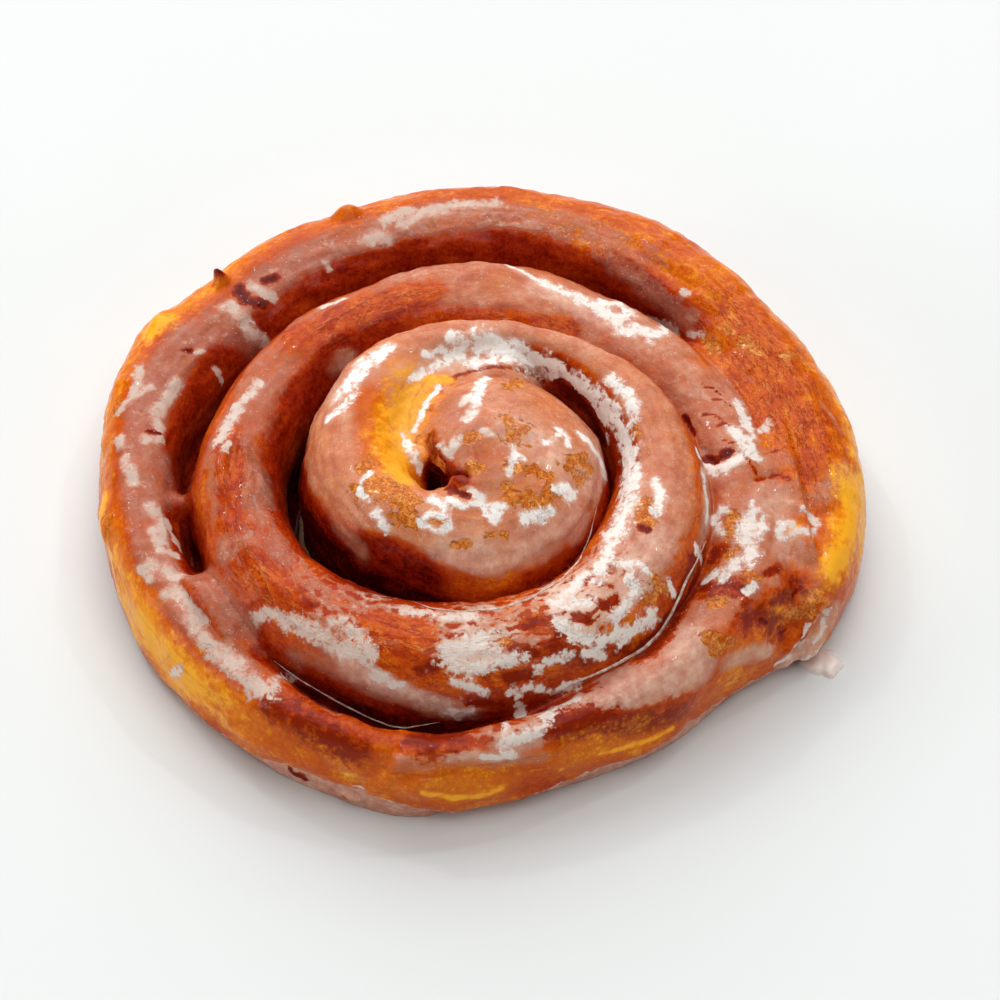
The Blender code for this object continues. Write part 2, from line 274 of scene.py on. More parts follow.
# Each row of the tables below is a path across the roll, as it lies in the photograph: a radius in
# millimetres, then the x,y of each pixel.
# White glaze that has dried on the crests.
WHITE = (
    # On the knob
    (0.9, 486,380, 479,392, 475,405, 468,420), (0.6, 470,396, 462,404), (0.4, 485,432, 486,434),
    (0.5, 512,447, 516,455, 510,468, 508,477), (0.4, 516,455, 524,460),
    (0.6, 470,492, 482,498, 484,508, 500,514), (0.7, 484,510, 494,520),
    (0.5, 450,500, 463,507, 478,504, 505,508), (0.6, 432,501, 442,503, 446,510),
    (0.5, 420,521, 430,515, 447,517, 450,527, 436,531, 421,524), (0.7, 441,449, 452,456, 457,440),
    (0.5, 558,434, 566,432, 568,444), (1.1, 584,438, 592,447, 600,460, 604,474),
    (1.0, 556,490, 566,488, 574,494, 566,502), (0.9, 524,518, 538,516, 550,512), (0.7, 560,429, 568,437),
    (0.5, 545,441, 555,438), (0.5, 482,432, 490,436), (0.9, 378,514, 386,530),
    (0.4, 361,492, 362,480, 372,472), (0.4, 360,494, 370,501), (0.9, 404,438, 411,452, 419,466, 428,480),
    (0.5, 440,387, 428,402, 421,418, 414,432),
    # On the left of the bun and over its back
    (1.5, 386,350, 374,360, 362,370, 350,384, 341,393), (0.9, 352,398, 340,410, 330,418),
    (0.8, 411,379, 424,372, 437,365), (0.9, 428,354, 442,350, 448,360), (1.2, 452,338, 465,345, 458,356),
    (2.3, 482,341, 498,350, 520,357, 542,363), (1.1, 470,363, 495,361),
    (1.9, 548,366, 565,376, 582,387, 600,399, 612,411), (1.0, 570,388, 584,399, 598,411, 609,422),
    (2.0, 612,410, 621,425, 625,445, 628,465, 629,490, 623,515, 614,535),
    (1.2, 624,440, 632,455, 635,480, 632,505), (1.0, 611,379, 622,391, 632,399), (1.2, 632,404, 633,416),
    (0.9, 598,430, 609,438), (0.8, 655,482, 661,500, 655,515), (1.2, 612,540, 605,560, 597,577),
    (0.9, 622,562, 640,565, 646,575), (1.0, 632,577, 637,592, 626,605, 615,618),
    (0.8, 586,574, 572,588, 556,604), (0.5, 668,580, 672,593),
    # On the middle winding, front and right
    (0.9, 556,603, 575,604, 592,600), (1.2, 558,622, 575,634, 590,641),
    (1.7, 604,640, 622,634, 640,624, 651,618), (1.1, 588,652, 602,655),
    (1.8, 448,655, 462,645, 475,642, 487,650), (1.1, 452,669, 470,668, 500,663, 520,659),
    (0.8, 453,680, 468,687, 482,690), (0.7, 484,638, 498,632), (0.8, 510,692, 530,687, 545,690),
    (0.9, 538,668, 555,660, 572,654), (0.8, 560,690, 578,682), (0.6, 518,695, 520,715, 519,742),
    (0.8, 506,742, 526,737, 548,724), (0.5, 507,726, 500,746), (0.9, 545,715, 560,705, 576,699),
    (0.6, 480,757, 500,756, 512,755), (1.0, 448,712, 468,712), (1.1, 257,619, 268,614, 281,618),
    (1.5, 287,623, 305,629, 325,641, 345,651, 364,655), (1.3, 352,628, 360,640, 372,655),
    (1.1, 364,662, 374,673, 386,682), (0.7, 388,684, 402,684), (0.6, 330,621, 345,620),
    (0.7, 405,612, 440,618, 470,619),
    # On the middle winding, left and back
    (0.8, 258,383, 250,392, 241,402), (1.3, 237,407, 230,418, 223,430, 221,441), (0.5, 228,446, 226,453),
    (0.6, 324,307, 334,302, 342,298), (0.5, 508,270, 522,275, 537,280), (1.1, 543,284, 560,290, 578,297),
    (1.6, 586,302, 602,309, 616,318), (1.2, 604,301, 618,303, 629,313),
    (1.2, 622,330, 640,330, 660,334, 672,331), (0.7, 650,319, 660,325, 670,326), (0.5, 648,341, 652,344),
    # On the outer winding, left
    (0.9, 150,508, 160,516, 164,530, 160,545), (0.7, 168,524, 173,538, 178,548),
    (0.6, 152,530, 162,552, 176,556), (0.8, 142,570, 150,579), (0.9, 150,565, 166,571, 178,578),
    (0.6, 165,597, 173,597), (1.1, 176,590, 186,600, 192,613), (1.1, 190,600, 202,613, 206,622),
    (1.0, 192,613, 196,628, 205,640, 215,650), (1.4, 212,651, 225,657, 240,664), (0.7, 226,669, 240,678),
    (1.5, 250,682, 258,692, 268,690), (0.9, 272,685, 290,678), (0.8, 171,676, 182,668),
    (0.8, 123,461, 130,470, 134,482), (0.7, 119,440, 121,446), (0.6, 118,412, 128,400, 140,392, 150,386),
    (0.9, 138,366, 138,384, 130,400), (1.1, 177,385, 167,398, 158,412), (0.8, 155,419, 160,429),
    (0.3, 194,352, 204,352), (0.4, 213,366, 219,374, 221,384), (0.8, 145,440, 160,438),
    (1.0, 226,304, 238,309, 246,319), (1.0, 245,322, 253,335, 266,341), (0.7, 250,284, 262,291, 275,299),
    (0.4, 326,262, 329,270),
    # On the outer winding, back
    (1.1, 368,240, 378,234, 386,240), (1.0, 385,222, 398,214, 412,212),
    (1.0, 402,224, 420,214, 440,208, 456,203), (0.9, 462,203, 480,204, 496,203), (0.5, 688,294, 684,290),
    (0.5, 690,335, 704,334),
    # On the tail
    (0.3, 784,664, 802,654, 818,640), (0.25, 790,650, 800,636, 808,622), (0.3, 812,640, 822,626, 828,608),
    (0.3, 800,648, 812,632, 818,614), (0.3, 776,664, 790,654),
    # On the outer winding, right
    (1.0, 738,403, 745,418, 750,435, 746,448), (1.0, 733,431, 742,441, 752,453), (0.8, 749,456, 758,461),
    (0.7, 762,431, 770,422), (1.1, 703,462, 712,469, 725,468, 738,460), (0.6, 700,456, 697,449),
    (0.9, 704,475, 706,500, 706,520), (0.7, 693,548, 700,560), (0.9, 722,512, 714,522, 721,531),
    (1.2, 755,508, 748,519, 741,533), (1.4, 741,536, 752,547, 750,560), (1.0, 764,518, 759,534),
    (0.9, 739,560, 730,570, 722,578), (0.7, 748,591, 755,585), (0.7, 706,580, 716,574),
    (0.7, 779,533, 782,525, 790,523), (0.8, 780,537, 792,533, 802,530, 812,532),
    (0.7, 805,508, 808,515, 816,523),
)

# Golden crust that the glaze has flaked off.
GOLD = (
    (0.9, 706,640, 716,648, 725,641), (1.5, 512,424, 523,429, 514,439), (1.0, 508,388, 522,384),
    (0.8, 422,440, 430,447), (0.9, 436,452, 445,465), (0.9, 470,466, 478,470), (0.7, 468,440, 476,437),
    (0.8, 508,470, 530,470, 548,477), (0.9, 508,486, 513,498), (1.4, 531,501, 544,505, 550,494),
    (1.0, 568,466, 584,461), (1.9, 367,486, 380,488, 392,492), (1.6, 392,495, 402,505, 408,520),
    (0.9, 362,466, 371,460), (0.7, 436,521, 441,522), (0.5, 486,538, 505,535), (0.5, 452,546, 469,543),
    (0.7, 632,432, 635,433), (1.2, 641,506, 648,520), (0.5, 632,584, 634,584), (0.9, 706,341, 713,348),
    (0.8, 726,328, 731,329), (1.0, 743,341, 755,349), (0.9, 784,354, 795,359),
    (1.0, 735,518, 728,526, 733,534), (0.7, 727,556, 736,549), (1.1, 745,581, 753,578),
    (0.9, 711,603, 722,600), (0.8, 653,580, 665,588), (0.8, 644,597, 655,598), (0.6, 118,404, 114,414),
    (0.9, 800,596, 812,600), (0.8, 788,612, 800,610), (0.6, 203,653, 209,653), (0.5, 500,641, 515,644),
    (0.8, 786,594, 802,590, 818,596), (0.7, 792,620, 806,612, 820,606), (1.0, 575,463, 590,470, 580,480),
)

# Pale yellow dough, less fried than the rest; on the rims, a painted glow of light through the dough.
YELLOW = (
    (1.6, 410,392, 401,412, 396,436, 396,460, 403,476), (0.5, 424,379, 446,382),
    (1.6, 142,622, 156,650, 170,676), (1.2, 848,480, 853,510, 846,540, 842,556), (0.9, 836,548, 830,572),
    (0.15, 600,752, 640,742, 672,728), (0.22, 424,788, 450,794, 478,793, 500,786),
    (0.9, 112,560, 122,600, 136,632), (0.5, 107,500, 106,530), (0.8, 150,330, 165,320),
    (0.4, 793,528, 795,528),
)

# Dark red, wet and well fried; in the pit and the crease beside the knob, painted shade.
DARK = (
    (0.8, 438,470, 443,482, 452,490), (0.35, 452,490, 468,496), (1.7, 562,385, 580,400, 594,415, 604,437),
    (0.7, 265,281, 275,279), (1.0, 238,287, 245,298), (0.9, 250,300, 264,305), (0.35, 182,351, 191,351),
    (0.3, 148,431, 160,433), (0.5, 345,211, 347,211), (0.5, 221,279, 223,281),
    (0.7, 705,459, 716,461, 729,452), (0.45, 763,621, 770,625), (0.3, 782,636, 790,632),
    (0.35, 790,596, 800,588), (0.4, 640,528, 648,530), (0.4, 684,416, 693,434),
    (0.35, 288,772, 294,775, 304,781), (0.3, 344,797, 350,801, 358,804),
)

# Redder than the dough round it, with soft edges.
RED = (
    (0.5, 590,600, 604,606, 616,600), (0.3, 600,584, 612,586), (0.4, 575,616, 590,620),
    (0.04, 702,385, 716,389, 722,394), (0.04, 712,400, 722,400, 730,406), (0.08, 704,414, 714,414, 722,420),
    (0.08, 715,426, 724,424, 735,430), (0.06, 722,441, 735,445), (0.06, 752,456, 775,452, 795,447),
    (0.10, 740,455, 750,465, 756,474),
    (0.25, 436,392, 444,384, 456,377, 468,373, 484,369, 500,368, 520,371, 544,380),
    (1.7, 556,728, 590,722, 640,724, 684,711), (1.8, 270,706, 300,722, 330,738, 352,752),
    (1.6, 420,741, 455,736), (1.2, 570,656, 600,650, 622,648), (0.8, 508,678, 530,676),
    (0.7, 470,700, 500,702), (0.8, 548,650, 560,644), (0.7, 420,668, 440,664), (0.7, 528,622, 548,620),
    (0.6, 555,632, 566,636), (0.6, 515,648, 535,654), (0.5, 300,600, 312,604), (1.0, 452,474, 462,480),
    (0.8, 436,450, 432,440), (0.12, 757,479, 766,477), (0.10, 770,476, 778,474, 790,479),
    (0.4, 768,573, 781,568), (1.1, 706,590, 740,586), (0.9, 690,560, 680,590, 668,615, 650,640, 620,655),
    (0.8, 700,560, 692,585, 680,612, 664,640, 640,660), (1.0, 700,560, 716,552), (0.5, 425,408, 428,410),
    (0.5, 432,395, 438,392), (1.5, 752,618, 770,618, 784,632), (0.9, 776,602, 800,586),
)

# Milky glaze that lies thicker than elsewhere.
FILM = (
    # Fine folds of glaze on the right
    (0.22, 776,340, 790,347, 800,353), (0.22, 768,352, 778,358), (0.22, 793,371, 806,377, 814,386),
    (0.22, 800,378, 812,386, 822,395), (0.22, 806,392, 818,401, 828,411), (0.22, 795,395, 808,404),
    (0.22, 744,374, 752,381, 760,389), (0.22, 778,396, 788,409, 796,421), (0.22, 800,408, 815,418),
    (0.22, 764,384, 778,388), (0.24, 784,426, 792,436, 802,440), (0.25, 720,300, 735,306, 752,318),
    (0.25, 740,322, 756,330), (0.25, 812,425, 826,438, 836,452), (0.3, 820,400, 832,416, 842,434),
    # Broader patches
    (1.6, 628,696, 650,691, 676,684), (0.9, 156,462, 164,480), (2.0, 212,480, 220,520, 226,556),
    (1.4, 210,572, 224,590, 236,606), (2.4, 505,742, 535,732, 556,714),
    (1.5, 400,758, 440,760, 500,764, 540,758), (2.2, 345,360, 330,430, 330,500, 360,550),
    (3.0, 450,540, 500,555, 545,540), (2.6, 480,450, 540,450, 560,490), (2.0, 590,500, 575,530),
    (2.4, 245,440, 262,480, 262,520), (2.2, 300,345, 270,385, 262,430), (2.0, 290,560, 330,590, 380,600),
    (2.2, 480,300, 540,305, 600,330, 650,350), (1.8, 655,430, 668,480, 665,540),
    (2.6, 590,702, 650,688, 700,668, 690,640, 672,660), (2.2, 704,452, 707,480, 705,520, 700,545),
    (3.0, 730,480, 770,500, 800,492), (2.8, 740,540, 780,550, 800,556), (2.0, 160,455, 166,480, 172,495),
    (2.6, 760,450, 780,460), (2.0, 720,600, 700,620, 690,650), (2.8, 330,659, 380,680, 430,698, 470,708),
    (2.0, 150,440, 160,470, 165,500), (2.0, 790,500, 830,490, 845,470), (1.8, 730,660, 765,650),
    (2.0, 780,545, 800,560), (1.8, 205,575, 225,595, 250,630), (2.4, 230,330, 250,345),
    (1.5, 350,236, 420,224, 500,208, 560,214), (2.2, 786,660, 812,642, 830,615), (1.2, 520,372, 545,378),
    (2.0, 600,250, 650,290, 690,320), (1.6, 400,765, 450,760, 500,762), (1.4, 330,760, 360,780),
    (1.6, 209,484, 217,464, 228,446), (1.5, 240,625, 250,645), (1.8, 210,580, 228,600, 240,612),
    (2.0, 295,655, 340,672, 390,694), (1.6, 255,694, 300,706, 340,722), (1.2, 120,355, 106,390),
)

# Milky glaze that is paler than elsewhere.
HAZE = (
    (2.2, 515,738, 545,722, 560,704), (0.8, 400,754, 450,752, 500,756), (1.4, 350,668, 400,686, 440,700),
    (3.6, 600,700, 650,688, 694,670), (2.0, 690,640, 676,664), (2.4, 520,432, 556,456, 586,480),
    (2.0, 450,550, 500,560, 545,548, 580,522), (2.2, 596,450, 602,480, 598,520),
    (2.0, 560,600, 600,612, 640,590), (1.4, 540,288, 600,312), (2.0, 640,560, 660,540),
    (1.4, 703,465, 706,500, 703,540), (2.0, 770,500, 800,520, 790,545), (1.8, 786,660, 812,644, 830,616),
    (1.4, 460,650, 480,665), (1.0, 350,362, 335,400), (1.2, 400,372, 440,362, 480,366),
    (1.8, 740,660, 770,652),
)

# Mauve where the dough shines through.
BRUISED = (
    (2.2, 466,455, 480,440, 480,470), (1.4, 592,500, 584,520), (1.5, 447,404, 456,412),
    (1.2, 596,470, 600,490), (1.4, 232,350, 250,330),
)

# Fine ripples and streaks that run along the dough.
RIPPLE = (
    (6.0, 735,320, 770,370, 800,430, 815,480), (3.0, 236,450, 236,500, 250,560, 290,600),
    (4.0, 380,640, 440,655, 520,660, 600,640), (2.5, 330,325, 400,295, 480,318, 570,327),
    (2.0, 690,500, 720,560, 740,600),
)

# Glaze that lies thinner than elsewhere.
CLEAR = (
    (2.0, 375,640, 395,632, 415,640), (1.6, 370,622, 395,620, 420,626), (1.6, 385,655, 400,663, 416,652),
    (1.4, 405,676, 425,684, 450,690), (1.4, 430,322, 480,318, 520,322, 570,327),
    (2.4, 720,290, 760,330, 800,400), (2.0, 770,420, 820,440), (2.0, 400,560, 430,590),
    (2.4, 370,400, 380,460, 420,485), (1.6, 225,430, 232,470, 228,520), (2.0, 250,560, 290,600),
    (2.0, 300,340, 360,305, 430,292), (1.5, 560,730, 620,724, 680,712), (2.4, 260,700, 320,735, 420,745),
)

# Thin lines of glaze; their pale colour is partly dried glaze and partly a painted reflection of the wet
# glaze in the creases.
THREADS = (
    (0.22, 412,601, 430,608, 460,612, 500,609, 530,599, 560,581, 580,560, 590,535, 597,506),
    (0.36, 706,541, 697,560, 686,580, 680,595, 670,615, 660,632, 645,648, 620,662, 600,672, 580,680,
     560,690, 550,696), (0.20, 274,661, 300,680, 340,703, 370,718, 391,726, 405,728, 440,722),
)

# Lumps, folds and dents: a height comes before the radius.
RELIEF = (
    # Folds of the front rim
    (-0.6, 0.9, 395,754, 381,771, 360,790), (0.6, 1.1, 402,754, 390,770, 372,790),
    (0.5, 0.8, 400,757, 440,751, 480,752, 520,756, 560,748),
    (-0.4, 0.8, 400,772, 440,768, 490,770, 530,768), (0.8, 3.0, 415,785, 450,796, 490,788),
    (0.5, 2.4, 560,762, 620,752, 664,738), (-0.6, 1.2, 676,742, 690,728),
    (0.5, 2.0, 235,725, 280,752, 330,775), (0.8, 0.9, 346,797, 356,801), (0.6, 0.8, 292,775, 302,781),
    # Rim on the left and back
    (0.7, 2.4, 146,322, 160,318), (-0.6, 1.6, 180,310, 190,318), (0.5, 1.6, 106,400, 104,440),
    (0.6, 2.0, 104,510, 108,530), (1.8, 1.5, 344,216, 350,215), (0.5, 1.4, 470,190, 478,189),
    (0.6, 1.3, 505,190, 515,192), (0.4, 0.8, 610,215, 650,240, 700,275, 730,305),
    (-0.4, 0.9, 600,225, 640,252, 690,290),
    # Middle winding
    (0.9, 2.6, 484,272, 500,274), (-0.5, 1.2, 232,455, 235,485, 228,510), (0.5, 1.2, 222,455, 220,480),
    (0.5, 1.4, 250,550, 262,575, 280,590), (-0.5, 0.9, 700,452, 716,461, 735,455),
    (-0.4, 0.7, 755,479, 800,474),
    # Knob
    (-0.7, 0.9, 440,478, 448,487, 463,494), (0.5, 1.3, 500,428, 522,430),
    (-0.25, 0.6, 438,560, 446,550, 458,546), (0.3, 0.7, 528,570, 532,570), (0.5, 0.9, 470,338, 478,334),
    (0.4, 1.5, 440,335, 455,340),
    # Tail
    (0.7, 1.4, 790,596, 812,598), (0.6, 1.2, 800,610, 824,604), (-1.2, 2.4, 760,620, 780,625),
    (-0.8, 1.2, 786,640, 800,622), (0.9, 0.9, 784,662, 806,650, 822,628),
    (0.7, 0.8, 802,656, 818,638, 830,610), (-1.0, 0.7, 796,652, 812,634, 824,610),
    (0.9, 0.7, 786,648, 800,632, 810,616), (2.6, 0.8, 221,280, 223,281),
    (0.9, 0.6, 812,650, 826,632, 832,612), (-0.8, 0.5, 806,650, 820,632, 826,612),
    (0.8, 1.8, 706,638, 714,650, 724,640), (-0.5, 1.0, 714,643, 716,645), (0.5, 1.4, 740,580, 752,580),
)


# Curves along the dough
TURNS = np.linspace(-0.3, 3.7, 4000)


def hermite(table, turns):
    """The table's values at some turns, on a smooth curve through its rows."""
    at, value = np.array(table).T
    slope = np.gradient(value, at)
    i = np.clip(np.searchsorted(at, turns) - 1, 0, len(at) - 2)
    span = at[i + 1] - at[i]
    s = np.clip((turns - at[i]) / span, 0, 1)
    return (
        value[i] * (1 + 2 * s) * (1 - s) ** 2
        + span * slope[i] * s * (1 - s) ** 2
        + value[i + 1] * s * s * (3 - 2 * s)
        + span * slope[i + 1] * s * s * (s - 1)
    )


def along(table):
    """A function that reads a table at any array of turns."""
    values = hermite(table, TURNS).astype(np.float32)
    return lambda turn: np.interp(turn, TURNS, values).astype(np.float32)


edge, crest, gap, web, fillet = map(along, (EDGE, CREST, GAP, WEB, FILLET))
knob, arm_fillet = map(along, (KNOB, ARM_FILLET))
browned, filmed, broken, mauve = map(along, (BROWNED, FILMED_AND_SHEEN, BROKEN, MAUVE))


def smooth(low, high, x):
    """0 below low, 1 above high, and smooth between."""
    s = np.clip((x - low) / (high - low), 0, 1)
    return s * s * (3 - 2 * s)


def toward(value, goal, share):
    """A value moved part of the way to a goal."""
    return value + share * (goal - value)


# Noise
def lattice(ix, iy, iz, seed):
    """A repeatable number from -1 to 1 for each point of a whole-number lattice."""
    h = ix * 374761393 + iy * 668265263 + iz * 2147483647 + seed * 974634777
    h = (h ^ (h >> 13)) * 1274126177
    h = (h ^ (h >> 16)) * 668265263
    h = h ^ (h >> 15)
    return (h & 0xFFFF).astype(np.float32) / 32767.5 - 1


def noise(points, size, seed=0):
    """Smooth noise from about -1 to 1 at points of an (n, 3) array; size may be one per axis."""
    p = np.asarray(points, np.float32) / np.float32(size)
    cell = np.floor(p).astype(np.int64)
    part = p - cell
    fade = part * part * part * (part * (part * 6 - 15) + 10)
    total = 0
    for corner in range(8):
        step = np.array([corner & 1, corner >> 1 & 1, corner >> 2])
        at = cell + step
        toward_point = part - step
        slope = sum(
            lattice(at[:, 0], at[:, 1], at[:, 2], seed * 3 + axis) * toward_point[:, axis]
            for axis in range(3)
        )
        weight = np.prod(np.where(step, fade, 1 - fade), axis=1)
        total = total + weight * slope
    return total * 1.6


def octaves(points, size, seed, count):
    """Several noises added, each half the size and half as strong as the one before."""
    total = 0
    for i in range(count):
        total = total + 0.5**i * noise(points, size / 2**i, seed + 17 * i)
    return total


# The field: the distance to the dough, negative inside
def smooth_min(a, b, radius):
    """The union of two fields with a fillet."""
    h = np.maximum(radius - np.abs(a - b), 0) / radius
    return np.minimum(a, b) - h * h * radius * 0.25


def polar(x, y):
    """The distance from the middle of the coil, and the part of a turn."""
    dx = x - COIL_X
    dy = y - COIL_Y
    return np.hypot(dx, dy), (np.arctan2(dy, -dx) / (2 * np.pi)) % 1


def rounded(places, reaches):
    """Distance to a rounded form; each place is measured in shares of its reach from the middle."""
    rho = sum(place**ROUNDNESS for place in places) ** (1 / ROUNDNESS)
    rho = np.maximum(rho, 1e-3)
    steep = sum(((place / rho) ** (ROUNDNESS - 1) / reach) ** 2 for place, reach in zip(places, reaches))
    return (rho - 1) / np.sqrt(steep + 1e-6)


def upright(z, top):
    """The place between the waist and the top or the foot, and the reach to it."""
    waist = WAIST_SHARE * top
    reach = np.where(z > waist, top - waist, waist + FOOT_DEPTH)
    return np.abs((z - waist) / reach), reach


def winding(r, turn, z):
    """Distance to the stretch of dough at this turn."""
    outer = edge(turn) - gap(turn) / 2
    crease = edge(turn - 1) + gap(turn - 1) / 2
    inner = ARM_REACH + smooth(*ARM_CLOSES, turn) * (crease - ARM_REACH)
    half = (outer - inner) / 2
    beside = np.abs((r - (inner + outer) / 2) / half)
    up, reach = upright(z, crest(turn))
    beyond = np.maximum((turn - TAIL_TURN) / END_LENGTH, (ARM_TURN - turn) / ARM_TAPER)
    end_reach = END_LENGTH * 2 * np.pi * np.maximum(r, NARROWEST_BEND)
    return rounded((beside, up, np.clip(beyond, 0, 4)), (half, reach, end_reach))


def knob_field(r, part, z):
    """Distance to the knob in the middle."""
    up, reach = upright(z, KNOB_HEIGHT)
    return rounded((r / knob(part), up), (knob(part), reach))


def nearest_crease(r, part):
    """The turn of the crease that lies nearest."""
    best, turn = np.full(r.shape, FAR, np.float32), part
    for k in range(-1, 4):
        away = np.where(part + k > CREASE_START, np.abs(r - edge(part + k)), FAR)
        nearer = away < best
        best = np.where(nearer, away, best)
        turn = np.where(nearer, part + k, turn)
    return turn


def hole_field(x, y, z):
    """Distance to the holes."""
    total = np.float32(FAR)
    for radius, bottom, *spots in HOLES:
        for (ax, ay), (bx, by) in zip(spots, spots[1:]):
            wx, wy = bx - ax, by - ay
            px, py = x - COIL_X - ax, y - COIL_Y - ay
            share = np.clip((px * wx + py * wy) / (wx * wx + wy * wy), 0, 1)
            away = np.hypot(px - share * wx, py - share * wy) - radius
            total = np.minimum(total, np.maximum(away, bottom - z))
    return total


def field(x, y, z):
    """Signed distance to the roll, negative inside. x and y broadcast against z."""
    r, part = polar(x, y)
    at_crease = nearest_crease(r, part)
    radius = fillet(at_crease)
    total = smooth_min(knob_field(r, part, z), winding(r, part, z), arm_fillet(part))
    for k in range(1, 4):
        total = smooth_min(total, winding(r, part + k, z), radius)
    beside = np.abs(r - edge(at_crease)) - WEB_HALF_WIDTH
    floor = np.maximum(z - web(at_crease), beside)
    total = smooth_min(total, floor, WEB_FILLET)
    total = -smooth_min(-total, hole_field(x, y, z), HOLE_FILLET)
    return np.maximum(total, -z)


def field_at(points):
    return field(points[:, 0], points[:, 1], points[:, 2])


def field_slope(points, step=0.15):
    """The field's gradient at points, unit length."""
    slope = np.empty_like(points)
    for axis in range(3):
        shift = np.zeros(3, np.float32)
        shift[axis] = step
        slope[:, axis] = field_at(points + shift) - field_at(points - shift)
    return slope / np.maximum(np.linalg.norm(slope, axis=1, keepdims=True), 1e-6)


# The surface
CORNERS = np.array([(i & 1, i >> 1 & 1, i >> 2) for i in range(8)])
CELL_EDGES = [(a, b) for a in range(8) for b in range(a + 1, 8) if bin(a ^ b).count("1") == 1]


def crossing_points(values, cells):
    """The middle of the places where each cell's edges cross zero, in cells."""
    held = [values[tuple((cells + corner).T)] for corner in CORNERS]
    total = np.zeros((len(cells), 3), np.float32)
    crossings = np.zeros((len(cells), 1), np.float32)
    for a, b in CELL_EDGES:
        crosses = (held[a] < 0) != (held[b] < 0)
        share = np.where(crosses, held[a] / np.where(crosses, held[a] - held[b], 1), 0)[:, None]
        spot = CORNERS[a] + share * (CORNERS[b] - CORNERS[a])
        total += np.where(crosses[:, None], spot, 0)
        crossings += crosses[:, None]
    return cells + total / crossings


def crossing_quads(inside, index, axis):
    """Quads round the grid edges along an axis that leave or enter the dough."""
    first, second = [slice(1, -1)] * 3, [slice(1, -1)] * 3
    first[axis] = slice(0, -1)
    second[axis] = slice(1, None)
    edges = np.argwhere(inside[tuple(first)] != inside[tuple(second)]) + 1
    edges[:, axis] -= 1
    p, q = (axis + 1) % 3, (axis + 2) % 3
    ring = []
    for dp, dq in ((-1, -1), (0, -1), (0, 0), (-1, 0)):
        near = edges.copy()
        near[:, p] += dp
        near[:, q] += dq
        ring.append(index[tuple(near.T)])
    ring = np.stack(ring, 1)
    leaves = inside[tuple(edges.T)]
    return np.where(leaves[:, None], ring, ring[:, ::-1])


def surface_nets(values, low, cell):
    """Points and quads of the surface where a grid of values crosses zero."""
    inside = values < 0
    count = sum(
        inside[tuple(slice(c, n - 1 + c) for c, n in zip(corner, values.shape))].astype(np.int8)
        for corner in CORNERS
    )
    cells = np.argwhere((count > 0) & (count < 8))
    index = np.full(np.array(values.shape) - 1, -1, np.int32)
    index[tuple(cells.T)] = np.arange(len(cells))
    points = crossing_points(values, cells) * cell + low
    quads = [crossing_quads(inside, index, axis) for axis in range(3)]
    return points.astype(np.float32), np.concatenate(quads)


def relax(points, quads):
    """Moves each point halfway to the middle of its neighbours."""
    total = np.zeros_like(points)
    count = np.zeros(len(points), np.float32)
    for i in range(4):
        j = (i + 1) % 4
        for here, there in ((quads[:, i], quads[:, j]), (quads[:, j], quads[:, i])):
            np.add.at(total, here, points[there])
            np.add.at(count, here, 1)
    return 0.5 * points + 0.5 * total / count[:, None]


def settle(points, rounds=2):
    """Moves points along the slope onto the surface."""
    for _ in range(rounds):
        slope = field_slope(points)
        away = np.clip(field_at(points), -CELL, CELL)
        points = points - slope * away[:, None]
    return points


def roll_surface():
    """Points and quads of the whole roll, before its relief."""
    x, y, z = (np.arange(low, high, CELL, dtype=np.float32) for low, high in zip(GRID_LOW, GRID_HIGH))
    values = field(x[:, None, None], y[None, :, None], z[None, None, :])
    points, quads = surface_nets(values, np.array(GRID_LOW, np.float32), CELL)
    points = settle(points)
    points = settle(relax(points, quads), 1)
    points[:, 2] = np.maximum(points[:, 2], 0)
    return points, quads


# Places along the dough
def dough_at(points):
    """For each point: the turn, the place across the dough from -1 to 1, and the depth below the crest."""
    r, part = polar(points[:, 0], points[:, 1])
    turn = part.copy()
    for k in range(4):
        turn = np.where(r > edge(part + k), part + k + 1, turn)
    turn = np.minimum(turn, LAST_TURN)
    outer = edge(turn)
    inner = np.where(turn < ARM_CLOSES[1], -outer, edge(turn - 1))
    across = (r - (inner + outer) / 2) / np.maximum((outer - inner) / 2, 2.0)
    top = np.where(r < knob(part), KNOB_HEIGHT, crest(turn))
    return turn, np.clip(across, -1.3, 1.3), top - points[:, 2]


def outline_at(points):
    """How far each point lies outside the crest of the outermost winding, in shares of its half width."""
    r, part = polar(points[:, 0], points[:, 1])
    turn = np.where(part + 3 < TAIL_TURN + END_LENGTH, part + 3, part + 2)
    outer, inner = edge(turn), edge(turn - 1)
    return (r - (inner + outer) / 2) / ((outer - inner) / 2)


# Paths read from the photograph
def in_pairs(numbers):
    """Pixels from a flat row of their coordinates."""
    return list(zip(numbers[::2], numbers[1::2]))


class Picture:
    """Finds the place on the roll that the photograph shows at a pixel."""

    def __init__(self, points, quads):
        self.tree = BVHTree.FromPolygons(points.tolist(), quads.tolist())

    def ray(self, pixel):
        focal = PIXELS_PER_MM * CAMERA_DISTANCE
        across = (pixel[0] - PRINCIPAL[0]) / focal
        down = (pixel[1] - PRINCIPAL[1]) / focal
        return (CAMERA_RIGHT * across - CAMERA_UP * down - CAMERA_BACK).normalized()

    def path(self, pixels):
        spots = [self.tree.ray_cast(CAMERA_EYE, self.ray(pixel))[0] for pixel in pixels]
        return np.array([spot for spot in spots if spot is not None], np.float32)


def path_distance(points, spots):
    """Distance from each point to a path."""
    if len(spots) == 1:
        return np.linalg.norm(points - spots[0], axis=1)
    best = np.full(len(points), FAR, np.float32)
    for a, b in zip(spots, spots[1:]):
        way = b - a
        share = np.clip((points - a) @ way / max(way @ way, 1e-6), 0, 1)
        best = np.minimum(best, np.linalg.norm(points - a - share[:, None] * way, axis=1))
    return best


